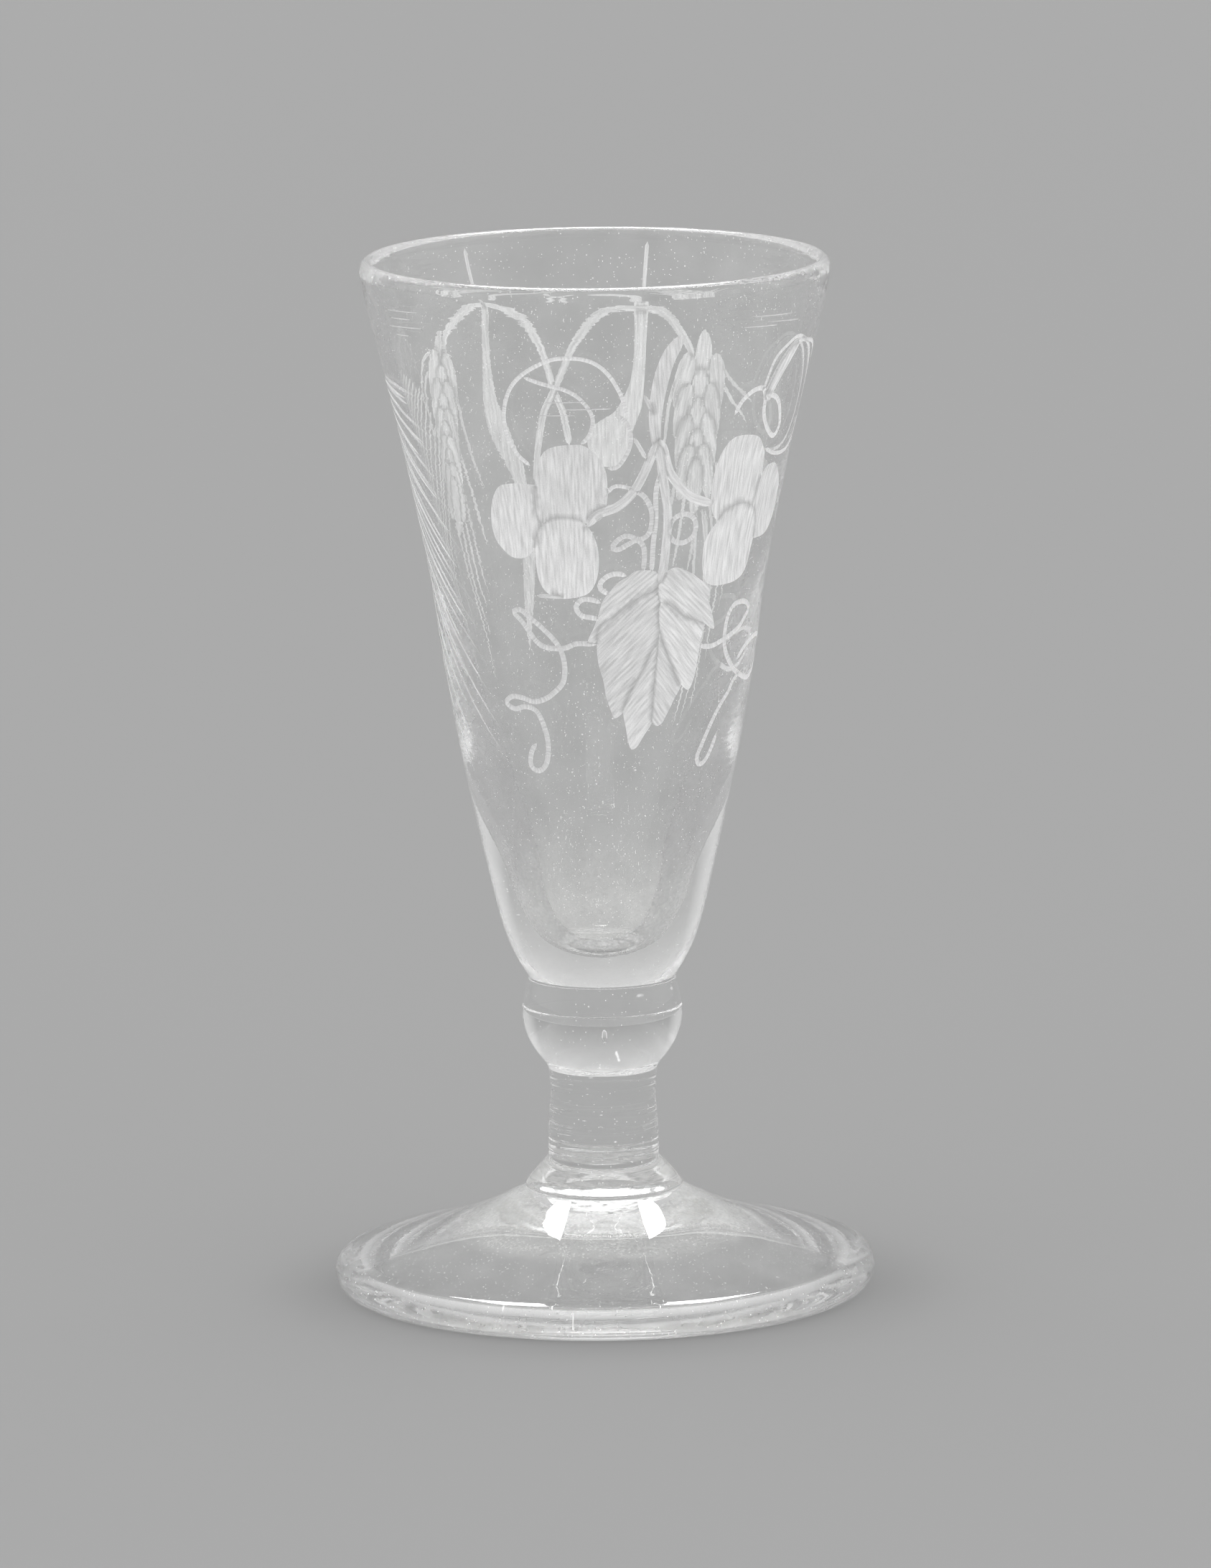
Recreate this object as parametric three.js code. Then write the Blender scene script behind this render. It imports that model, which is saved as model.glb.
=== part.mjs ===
// A short-stemmed antique ale glass in clear glass, in millimetres, standing on its foot with +Z up.
// It is made as the glassmaker made it, from gathers of glass fused end to end on one axis: the foot
// with the pontil scar under it, the collar, the stem, the two halves of the ball knop and the bowl.
import * as THREE from "three";

// Facets round the axis, and counts of points along the smooth stretches of the outlines
const FACETS = 48;
const SCAR_FACETS = 20;
const BOWL_STEPS = 20;
const FOOT_STEPS = 12;
const KNOP_STEPS = 7;
const SHORT_STEPS = 5;
const ROUND_STEPS = 6;

// Foot: a cone of even thickness with a rounded edge, hollow beneath, resting on a worn ring
const FOOT_HEIGHT = 12.6;
const FOOT_RADIUS = 33.0;
const FOOT_EDGE_ROUND = 2.4;
const FOOT_CENTRE_THICKNESS = 4.2;
const FOOT_REST_WIDTH = 1.6;
const FOOT_SEAT_MARGIN = 0.25;
// The cone's top, as shares of the way out from seat to edge and of the way up from edge to seat
const FOOT_TOP_SHARES = [
  [0, 1], [0.046, 0.937], [0.12, 0.83], [0.3, 0.595], [0.49, 0.4], [0.72, 0.21], [0.9, 0.075], [1, 0],
];
// The hollow beneath, as shares of the way out from its seat to the rest ring and of its height
const FOOT_HOLLOW_SHARES = [
  [0, 1], [0.223, 0.893], [0.402, 0.702], [0.58, 0.5], [0.804, 0.262], [0.938, 0.095], [1, 0],
];

// Pontil scar: what is left of the gather that held the glass while its rim was finished
const SCAR_RADIUS = 6.4;
const SCAR_THICKNESS = 1.3;
const SCAR_SEAT_MARGIN = 0.7;
const SCAR_OUTLINE_SHARES = [[0, 1], [0.3, 0.82], [0.55, 0.95], [0.82, 0.5], [1, 0.18], [1, 0]];
const SCAR_WAVES = [{ count: 3, sizeShare: 0.06, turn: 0.4 }, { count: 5, sizeShare: 0.04, turn: 1.7 }];

// Collar: the domed button between foot and stem, overhanging its seat a little
const COLLAR_HEIGHT = 4.0;
const COLLAR_RADIUS = 9.75;
const COLLAR_OVERHANG = 0.4;
const COLLAR_SHARES = [
  [1, 0.08], [0.935, 0.155], [0.765, 0.32], [0.57, 0.51], [0.345, 0.69], [0.105, 0.865], [0, 1],
];

// Stem: a short solid cylinder, waisted above its middle
const STEM_HEIGHT = 10.8;
const STEM_RADIUS = 6.73;
const STEM_WAIST_RADIUS = 6.42;
const STEM_TOP_SHARE = 0.65;
const STEM_SHARES = [
  [1, 0], [0.98, 0.18], [0.77, 0.4], [0.1, 0.66], [0, 0.75], [0.25, 0.88], [STEM_TOP_SHARE, 1],
];

// Ball knop: a lower and an upper gather that meet at a shallow seam a little above the widest place.
// It swells out past the neck where the bowl is fused to it.
const KNOP_SWELL = 0.85;
const LOWER_KNOP_HEIGHT = 7.9;
const UPPER_KNOP_HEIGHT = 3.6;
const SEAM_DEPTH = 0.12;
const LOWER_KNOP_SHARES = [
  [0, 0], [0.15, 0.11], [0.34, 0.2], [0.63, 0.37], [0.845, 0.555], [0.965, 0.74], [1, 0.91], [0.985, 0.985],
];
const UPPER_KNOP_SHARES = [[1, 0.02], [0.9, 0.2], [0.74, 0.4], [0.42, 0.66], [0.08, 0.88], [0, 1]];

// Bowl: a tall funnel, drawn in at the middle, with a thick base and a rounded lip
const BOWL_HEIGHT = 88.1;
const BOWL_BASE_RADIUS = 8.95;
const BOWL_BASE_THICKNESS = 4.3;
const RIM_RADIUS = 28.5;
const RIM_WALL = 1.9;
const LIP_ROUND_HEIGHT = 1.6;
// The outside, as shares of the way out from base to rim and of the way up from the base to the lip
const BOWL_OUTSIDE_SHARES = [
  [0, 0], [0.045, 0.015], [0.105, 0.04], [0.16, 0.075], [0.252, 0.161], [0.352, 0.263], [0.443, 0.366],
  [0.518, 0.468], [0.581, 0.57], [0.668, 0.671], [0.763, 0.773], [0.87, 0.875], [0.965, 0.96], [1, 1],
];
// The cavity, as shares of the inner rim radius and of the way up from its floor to the lip
const BOWL_CAVITY_SHARES = [
  [0, 0], [0.12, 0.0085], [0.173, 0.022], [0.216, 0.046], [0.254, 0.083], [0.297, 0.144], [0.361, 0.204],
  [0.444, 0.277], [0.523, 0.35], [0.605, 0.448], [0.677, 0.545], [0.75, 0.655], [0.865, 0.813], [1, 1],
];

const KNOP_RADIUS = BOWL_BASE_RADIUS + KNOP_SWELL;

// The height at which each gather starts, going up from the table
const COLLAR_BASE = FOOT_HEIGHT;
const STEM_BASE = COLLAR_BASE + COLLAR_HEIGHT;
const LOWER_KNOP_BASE = STEM_BASE + STEM_HEIGHT;
const UPPER_KNOP_BASE = LOWER_KNOP_BASE + LOWER_KNOP_HEIGHT;
const BOWL_BASE = UPPER_KNOP_BASE + UPPER_KNOP_HEIGHT;
const LIP_BASE = BOWL_BASE + BOWL_HEIGHT - LIP_ROUND_HEIGHT;

const CLEAR_GLASS = { color: 0xe9efec, roughness: 0.04, metalness: 0, transparent: true, opacity: 0.35 };
const SNAPPED_GLASS = { color: 0xf2f4f2, roughness: 0.45, metalness: 0, transparent: true, opacity: 0.6 };

const point = (radius, height) => new THREE.Vector2(radius, height);

// A value part of the way from one to another
const mix = (from, to, share) => from + (to - from) * share;

// A smooth line of points through an outline given as shares of a radius range and a height range
function smoothOutline(shares, [innerRadius, outerRadius], [bottom, top], steps) {
  const through = shares.map(([radiusShare, heightShare]) =>
    new THREE.Vector3(mix(innerRadius, outerRadius, radiusShare), mix(bottom, top, heightShare), 0));
  const curve = new THREE.CatmullRomCurve3(through, false, "centripetal");
  return curve.getPoints(steps).map((place) => point(Math.max(place.x, 0), place.y));
}

// Points on an elliptical arc about a centre, with angles counted up from straight out
function arc(centre, reachOut, reachUp, fromAngle, toAngle) {
  return Array.from({ length: ROUND_STEPS + 1 }, (_, i) => {
    const angle = mix(fromAngle, toAngle, i / ROUND_STEPS);
    return point(centre.x + reachOut * Math.cos(angle), centre.y + reachUp * Math.sin(angle));
  });
}

// A turned solid: the profile runs from the axis at the bottom, up the outside and back to the axis
function turned(name, profile, material, facets = FACETS) {
  const geometry = new THREE.LatheGeometry(profile, facets);
  geometry.rotateX(Math.PI / 2);
  const mesh = new THREE.Mesh(geometry, material);
  mesh.name = name;
  return mesh;
}

function makeFoot(material) {
  const hollowTop = FOOT_HEIGHT - FOOT_CENTRE_THICKNESS;
  const edgeCentre = point(FOOT_RADIUS - FOOT_EDGE_ROUND, FOOT_EDGE_ROUND);
  const edgeTop = edgeCentre.y + FOOT_EDGE_ROUND;
  const hollowRadii = [SCAR_RADIUS + SCAR_SEAT_MARGIN, edgeCentre.x - FOOT_REST_WIDTH];
  const topRadii = [COLLAR_RADIUS - COLLAR_OVERHANG + FOOT_SEAT_MARGIN, edgeCentre.x];
  const hollow = smoothOutline(FOOT_HOLLOW_SHARES, hollowRadii, [0, hollowTop], FOOT_STEPS);
  const edge = arc(edgeCentre, FOOT_EDGE_ROUND, FOOT_EDGE_ROUND, -Math.PI / 2, Math.PI / 2);
  const top = smoothOutline(FOOT_TOP_SHARES, topRadii, [edgeTop, FOOT_HEIGHT], FOOT_STEPS).reverse();
  const profile = [point(0, hollowTop), ...hollow, ...edge, ...top.slice(1), point(0, FOOT_HEIGHT)];
  return turned("foot", profile, material);
}

// The scar's broken face bulges down unevenly, and its outline wanders in and out
function makePontilScar(material) {
  const seat = FOOT_HEIGHT - FOOT_CENTRE_THICKNESS;
  const broken = SCAR_OUTLINE_SHARES.map(([radiusShare, depthShare]) =>
    point(SCAR_RADIUS * radiusShare, seat - SCAR_THICKNESS * depthShare));
  const scar = turned("pontil_scar", [...broken, point(0, seat)], material, SCAR_FACETS);
  const places = scar.geometry.getAttribute("position");
  for (let i = 0; i < places.count; i++) {
    const angle = Math.atan2(places.getY(i), places.getX(i));
    const swings = SCAR_WAVES.map((wave) => wave.sizeShare * Math.sin(wave.count * angle + wave.turn));
    const spread = swings.reduce((sum, swing) => sum + swing, 1);
    places.setXY(i, places.getX(i) * spread, places.getY(i) * spread);
  }
  return scar;
}

function makeCollar(material) {
  const radii = [STEM_RADIUS, COLLAR_RADIUS];
  const side = smoothOutline(COLLAR_SHARES, radii, [COLLAR_BASE, STEM_BASE], SHORT_STEPS);
  const seatEdge = point(COLLAR_RADIUS - COLLAR_OVERHANG, COLLAR_BASE);
  return turned("foot_collar", [point(0, COLLAR_BASE), seatEdge, ...side, point(0, STEM_BASE)], material);
}

function makeStem(material) {
  const radii = [STEM_WAIST_RADIUS, STEM_RADIUS];
  const side = smoothOutline(STEM_SHARES, radii, [STEM_BASE, LOWER_KNOP_BASE], SHORT_STEPS);
  return turned("stem", [point(0, STEM_BASE), ...side, point(0, LOWER_KNOP_BASE)], material);
}

function makeLowerKnop(material) {
  const stemTopRadius = mix(STEM_WAIST_RADIUS, STEM_RADIUS, STEM_TOP_SHARE);
  const radii = [stemTopRadius, KNOP_RADIUS];
  const side = smoothOutline(LOWER_KNOP_SHARES, radii, [LOWER_KNOP_BASE, UPPER_KNOP_BASE], KNOP_STEPS);
  const seam = point(KNOP_RADIUS - SEAM_DEPTH, UPPER_KNOP_BASE);
  const profile = [point(0, LOWER_KNOP_BASE), ...side, seam, point(0, UPPER_KNOP_BASE)];
  return turned("lower_knop", profile, material);
}

function makeUpperKnop(material) {
  const widestRadius = KNOP_RADIUS - SEAM_DEPTH;
  const radii = [BOWL_BASE_RADIUS, widestRadius];
  const side = smoothOutline(UPPER_KNOP_SHARES, radii, [UPPER_KNOP_BASE, BOWL_BASE], SHORT_STEPS);
  const seam = point(widestRadius - SEAM_DEPTH, UPPER_KNOP_BASE);
  return turned("upper_knop", [point(0, UPPER_KNOP_BASE), seam, ...side, point(0, BOWL_BASE)], material);
}

function makeBowl(material) {
  const lipCentre = point(RIM_RADIUS - RIM_WALL / 2, LIP_BASE);
  const cavityFloor = BOWL_BASE + BOWL_BASE_THICKNESS;
  const outerRadii = [BOWL_BASE_RADIUS, RIM_RADIUS];
  const innerRadii = [0, RIM_RADIUS - RIM_WALL];
  const outside = smoothOutline(BOWL_OUTSIDE_SHARES, outerRadii, [BOWL_BASE, LIP_BASE], BOWL_STEPS);
  const lip = arc(lipCentre, RIM_WALL / 2, LIP_ROUND_HEIGHT, 0, Math.PI).slice(1, -1);
  const cavity = smoothOutline(BOWL_CAVITY_SHARES, innerRadii, [cavityFloor, LIP_BASE], BOWL_STEPS);
  return turned("bowl", [point(0, BOWL_BASE), ...outside, ...lip, ...cavity.reverse()], material);
}

const clearGlass = new THREE.MeshStandardMaterial(CLEAR_GLASS);
const snappedGlass = new THREE.MeshStandardMaterial(SNAPPED_GLASS);

const aleGlass = new THREE.Group();
aleGlass.add(makeFoot(clearGlass));
aleGlass.add(makePontilScar(snappedGlass));
aleGlass.add(makeCollar(clearGlass));
aleGlass.add(makeStem(clearGlass));
aleGlass.add(makeLowerKnop(clearGlass));
aleGlass.add(makeUpperKnop(clearGlass));
aleGlass.add(makeBowl(clearGlass));

export default aleGlass;
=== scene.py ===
"""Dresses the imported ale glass: clear glass, wheel-engraved hops and barley, floor, light and camera.

Lengths are in millimetres until a mesh is made, unless a comment says otherwise. An azimuth is in degrees
round the axis: 0 faces the camera, 90 is at its right and 180 is the far side.
"""

import math

import bpy
import numpy as np
from mathutils import Matrix, Vector, noise
from mathutils.geometry import delaunay_2d_cdt


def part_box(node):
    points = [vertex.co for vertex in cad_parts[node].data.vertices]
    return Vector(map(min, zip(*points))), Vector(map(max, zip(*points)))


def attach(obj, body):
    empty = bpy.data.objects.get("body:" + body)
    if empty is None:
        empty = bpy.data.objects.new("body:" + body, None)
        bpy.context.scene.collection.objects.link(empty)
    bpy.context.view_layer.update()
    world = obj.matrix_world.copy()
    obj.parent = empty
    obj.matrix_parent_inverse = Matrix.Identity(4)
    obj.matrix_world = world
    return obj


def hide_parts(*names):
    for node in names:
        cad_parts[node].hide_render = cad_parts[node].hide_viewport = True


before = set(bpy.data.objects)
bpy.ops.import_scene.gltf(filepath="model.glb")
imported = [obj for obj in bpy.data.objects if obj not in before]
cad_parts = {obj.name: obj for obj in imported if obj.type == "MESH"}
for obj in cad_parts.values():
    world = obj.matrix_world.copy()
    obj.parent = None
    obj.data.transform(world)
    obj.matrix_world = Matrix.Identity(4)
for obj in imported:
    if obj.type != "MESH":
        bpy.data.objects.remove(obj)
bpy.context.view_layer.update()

MM = 0.001
TAU = 2 * math.pi

# Below these a length or a square counts as nothing
TINY = 1e-6
TINY_SQUARE = 1e-12

# Columns of faces round the axis, where they start, and how far apart points lie along an outline
COLUMNS = 144
SEAM = 97 - 360
FINE_STEP = 0.05
FOOT_STEP = 0.5
FOOT_EDGE_STEP = 0.4
SCAR_STEP = 0.3
COLLAR_STEP = 0.2
NECK_STEP = 0.1
BOWL_STEP = 0.8
EDGE_POINTS = 22
LIP_POINTS = 25
TEAR_POINTS = 19

# The widths over which the bends of the outlines are evened out, and how many of them the evening reaches
REACH_IN_WIDTHS = 3
FOOT_EASE = 0.8
FOOT_EDGE_EASE = 0.35
SCAR_EASE = 0.3
COLLAR_EASE = 0.25
COLLAR_EDGE_EASE = 0.15
STEM_EASE = 0.5
LOWER_KNOP_EASE = 0.3
UPPER_KNOP_EASE = 0.25
SEAM_EASE = 0.04
BOWL_EASE = 1.5
CAVITY_EASE = 1.0

# Outlines of the solids, as shares of their ranges of radius and height
FOOT_TOP_SHARES = [
    (0, 1), (0.046, 0.937), (0.12, 0.83), (0.3, 0.595), (0.49, 0.4), (0.72, 0.21), (0.9, 0.075), (1, 0),
]
FOOT_HOLLOW_SHARES = [
    (0, 1), (0.223, 0.893), (0.402, 0.702), (0.58, 0.5), (0.804, 0.262), (0.938, 0.095), (1, 0),
]
SCAR_OUTLINE_SHARES = [(0, 1), (0.3, 0.82), (0.55, 0.95), (0.82, 0.5), (1, 0.18)]
COLLAR_SHARES = [
    (1, 0.08), (0.935, 0.155), (0.765, 0.32), (0.57, 0.51), (0.345, 0.69), (0.105, 0.865), (0, 1),
]
STEM_SHARES = [(1, 0), (0.98, 0.18), (0.77, 0.4), (0.1, 0.66), (0, 0.75), (0.25, 0.88), (0.65, 1)]
LOWER_KNOP_SHARES = [
    (0, 0), (0.15, 0.11), (0.34, 0.2), (0.63, 0.37), (0.845, 0.555), (0.965, 0.74), (1, 0.91), (0.985, 0.985),
]
UPPER_KNOP_SHARES = [(1, 0.02), (0.9, 0.2), (0.74, 0.4), (0.42, 0.66), (0.08, 0.88), (0, 1)]
BOWL_OUTSIDE_SHARES = [
    (0, 0), (0.045, 0.015), (0.105, 0.04), (0.16, 0.075), (0.252, 0.161), (0.352, 0.263), (0.443, 0.366),
    (0.518, 0.468), (0.581, 0.57), (0.668, 0.671), (0.763, 0.773), (0.87, 0.875), (0.965, 0.96), (1, 1),
]
BOWL_CAVITY_SHARES = [
    (0, 0), (0.12, 0.0085), (0.173, 0.022), (0.216, 0.046), (0.254, 0.083), (0.297, 0.144), (0.361, 0.204),
    (0.444, 0.277), (0.523, 0.35), (0.605, 0.448), (0.677, 0.545), (0.75, 0.655), (0.865, 0.813), (1, 1),
]

# Sizes that the boxes of the solids don't give
FOOT_EDGE_ROUND = 2.4
FOOT_REST_WIDTH = 1.6
FOOT_SEAT_MARGIN = 0.25
FOOT_WARP = 0.5
SCAR_RADIUS = 6.4
SCAR_SEAT_MARGIN = 0.7
COLLAR_RADIUS = 9.75
COLLAR_OVERHANG = 0.4
STEM_WAIST_RADIUS = 6.42
STEM_TOP_SHARE = 0.65
SEAM_DEPTH = 0.12
BOWL_BASE_RADIUS = 8.95
BOWL_BASE_THICKNESS = 4.3
RIM_WALL = 1.9
LIP_ROUND_HEIGHT = 1.6

# Waves of the pontil scar's outline: how many go round, their share of its radius, and their turn in radians
SCAR_WAVES = [(3, 0.06, 0.4), (5, 0.04, 1.7)]
SCAR_WAVES_AZIMUTH = 90

# Cracks of the pontil scar: their size and depth, then how fast the finer ones fade, how much finer each
# round of them is, and the number of rounds
SCAR_CRACK_SIZE = 1.1
SCAR_CRACK_DEPTH = 0.28
SCAR_CRACK_ROUNDS = (0.6, 2.2, 3)

# Rings that the tools left on the stem: height, how far they stand out and how tall they are
TOOL_RINGS = [
    (25.7, 0.05, 0.16), (23.8, -0.025, 0.14), (21.05, -0.08, 0.15), (20.2, 0.05, 0.15), (18.9, -0.045, 0.15),
    (17.5, 0.05, 0.2),
]

# The tear of air in the lower half of the knop
TEAR_OFFSET = 0.15
TEAR_HEIGHT = 32.4
TEAR_RADIUS = 0.24
TEAR_HALF_LENGTH = 0.5

# The wheel's cuts: the widths of strokes, then the courses of all cuts as points of (azimuth, height)

STEM, STALK, TENDRIL, FINE, AWN, HAIR = 1.15, 0.9, 0.64, 0.5, 0.5, 0.13

HOP_PETALS = [
    [(-34.9, 97.3), (-33.2, 100.6), (-30.4, 102.2), (-27, 102.6), (-22, 102.7), (-17.5, 102.3),
        (-16.5, 98.5), (-17.5, 95.6), (-20.4, 94.6), (-23.3, 93.6), (-26.3, 93.3), (-29.2, 93.5),
        (-31.7, 94.3), (-33.8, 95.3)],
    [(-18.6, 98.5), (-19.2, 101.5), (-17.9, 103.8), (-15.8, 106.4), (-13.3, 107.3), (-7.9, 107.7),
        (-4.2, 107.7), (-1.7, 107.1), (0.8, 105.9), (2.5, 104.5), (3.1, 102.5), (2.9, 100.3), (1.5, 98.6),
        (-1.5, 98), (-6, 98), (-12, 98.2), (-16.5, 97.8)],
    [(-20.3, 92), (-19.6, 90.5), (-17.9, 89.4), (-15.4, 88.8), (-12.5, 88.5), (-5.8, 88.8), (-2.9, 89.3),
        (-0.8, 90.5), (0.3, 92.3), (0.2, 94.5), (-0.8, 96), (-2.5, 97.3), (-5.5, 98.3), (-9.5, 98.6),
        (-13.5, 98.5), (-17.5, 97.6), (-20, 95.6)],
    [(37, 100), (38, 105), (42, 107.3), (47, 107.6), (53.8, 107), (56.5, 105.9), (58.4, 104.8), (59, 102.8),
        (59.5, 100.5), (57, 98), (52, 97), (45, 97), (39.5, 97.6)],
    [(58, 100.5), (60.6, 102.8), (63.8, 103.2), (67.5, 103), (70.6, 102.1), (73.8, 100.9), (75.6, 99.8),
        (76.3, 98.1), (74.7, 95.9), (72, 94.8), (68.4, 94.2), (63.8, 94.1), (60.6, 94.2), (57.5, 95.5),
        (56.8, 98)],
    [(40.2, 97), (37.9, 95.9), (36.5, 94.8), (36.3, 93.1), (36.8, 91.4), (38.8, 89.8), (42, 89.2),
        (50.2, 89.1), (53.8, 89.3), (57, 89.8), (59.3, 90.9), (60.2, 93.1), (61.1, 95.2), (59, 97.6),
        (54, 98.8), (48, 98.9), (43.5, 98.3)],
]

# Each lobe of the leaf, with the lean of its hatching in degrees to the right of upright
HOP_LEAF_LOBES = [
    (48, [(20.8, 90.4), (19.5, 91.6), (16, 91.9), (12, 91.8), (10, 91.2), (7, 90.6), (4, 89.4), (1.5, 88.2),
        (0, 86.5), (-1.5, 85), (-3.7, 83.1), (-0.6, 82.9), (3, 82.6), (8, 83.2), (14, 85), (20, 87.5)]),
    (46, [(20.9, 89), (14, 88.5), (6, 86.4), (0, 84.8), (-0.6, 83), (-0.2, 80.6), (1.6, 78.3), (2.6, 76.3),
        (4.2, 74.7), (5.8, 73.6), (9.2, 74.4), (13.3, 76.8), (17.4, 79.4), (21.4, 82.3), (22, 86)]),
    (40, [(9.1, 74.6), (10.2, 72.3), (11.4, 70.4), (12.6, 69.6), (14.6, 69.8), (17.6, 71.3), (20.9, 73.1),
        (21.7, 76), (21.9, 80), (21.4, 83), (16.8, 79.9), (12.7, 77.3)]),
    (-38, [(20.6, 72.9), (22.2, 72.4), (24.2, 72.5), (26.5, 73.7), (29, 75.4), (31.9, 77.5), (28.9, 79.7),
        (25.3, 82.4), (22.3, 84.6), (21, 80), (20.5, 76.5)]),
    (-42, [(31.4, 77.4), (33.3, 76.8), (35.2, 76.5), (37.2, 77.8), (38.2, 80), (39, 82.5), (39.8, 84.7),
        (35, 85.9), (30, 87), (24, 88.3), (21.5, 87.5), (22.1, 84), (24.8, 81.7), (28.2, 79.2)]),
    (-48, [(20.6, 90.2), (22.5, 91.4), (26.3, 92), (29.5, 91.6), (33, 91), (37, 90), (40.2, 89.4),
        (41.3, 88.6), (41, 87.4), (42.6, 86.3), (44.9, 83.7), (42.5, 84), (39.5, 84.7), (35, 85.2),
        (30, 86), (25, 87.3), (21.3, 88)]),
]

# Broad blades cut with long strokes, with the lean of those strokes
BLADES = [
    (-8, [(16.4, 107.2), (14.6, 110), (14.5, 113), (15.5, 116.5), (17.8, 119.4), (21, 120.9), (22.9, 120.9),
        (22.2, 119.6), (20.4, 117.5), (19, 114.5), (18.2, 111.5), (18.3, 108.5), (18.6, 106.8)]),
    (32, [(52.3, 111.8), (53.6, 113.6), (56, 115.6), (59, 117.2), (63, 118.4), (66.5, 118.2), (64, 116.6),
        (60.5, 114.8), (57.5, 113), (55, 111.4)]),
    (0, [(213.6, 118), (214.5, 115.2), (215.5, 112), (216.8, 108.8), (217.5, 106.1), (217.3, 103.4),
        (215, 100.6), (212, 98.4), (210.3, 96.3), (209.3, 93), (209.1, 90), (209.8, 87), (210.9, 84),
        (211.9, 80.7), (212.8, 77.6), (213.2, 75.6), (213, 74.4), (211.6, 75.6), (209.9, 77.6),
        (207.6, 80.7), (205.7, 84), (204.6, 87), (204.4, 91), (204.9, 94.5), (205.5, 97.9), (206.8, 99.7),
        (208.5, 102), (210.3, 104.5), (212.3, 107), (212.6, 110.2), (212.4, 113.8), (212, 117)]),
    (0, [(168.6, 118.5), (168.8, 114), (169, 111), (170, 108.5), (172, 106.5), (174.5, 104.9), (178, 104),
        (181.5, 102.9), (183, 100.8), (181, 98.8), (177.5, 97.7), (173.5, 97.8), (170.5, 99.4),
        (169, 101.6), (167.2, 103.8), (165.8, 105.5), (165.4, 108.5), (165.3, 113), (165.4, 118)]),
]

# Plain strokes along the stems, in pairs of width and points
STEMS = [
    (STEM, [(17.5, 108), (15.8, 106), (13.3, 103.5), (10.4, 101.5), (6.3, 100), (0, 99), (-3.3, 97.5)]),
    (STEM, [(18, 108.2), (19.6, 106.5), (21.7, 104), (25, 102.3), (29.2, 100.8), (35, 99.8), (38, 99.6)]),
    (STEM, [(17.9, 107.5), (19.2, 104.5), (20.8, 101.5), (22.1, 99), (22.3, 95.5), (21.9, 92), (20.8, 90)]),
    (FINE, [(12.8, 113.8), (15.5, 111.5)]),
    (FINE, [(10.5, 108.5), (14.3, 105.8)]),
    (AWN, [(-21, 88.8), (-12, 88.7)]),
    (STALK, [(231, 113.8), (228, 115.6), (225, 116.1), (221, 116.8), (213, 117.5), (208, 116.8),
        (203.5, 115.9), (200, 115), (196.1, 113), (194.4, 110.7), (193, 107.8), (190.6, 105),
        (188.9, 100.7)]),
    (STALK, [(150, 112.2), (152, 113.4), (155, 114.5), (158, 115.4), (162, 116.1), (167, 116.3),
        (172, 116.3), (177, 115.9), (182, 114.7), (186.7, 113), (190, 110.3), (193, 107.8), (196.7, 105),
        (199.4, 101), (201.7, 96)]),
    (FINE, [(215.3, 125), (214.6, 121.5), (213, 117)]),
    (FINE, [(166.5, 125), (166.8, 121.5), (167, 117.5)]),
]

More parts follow.
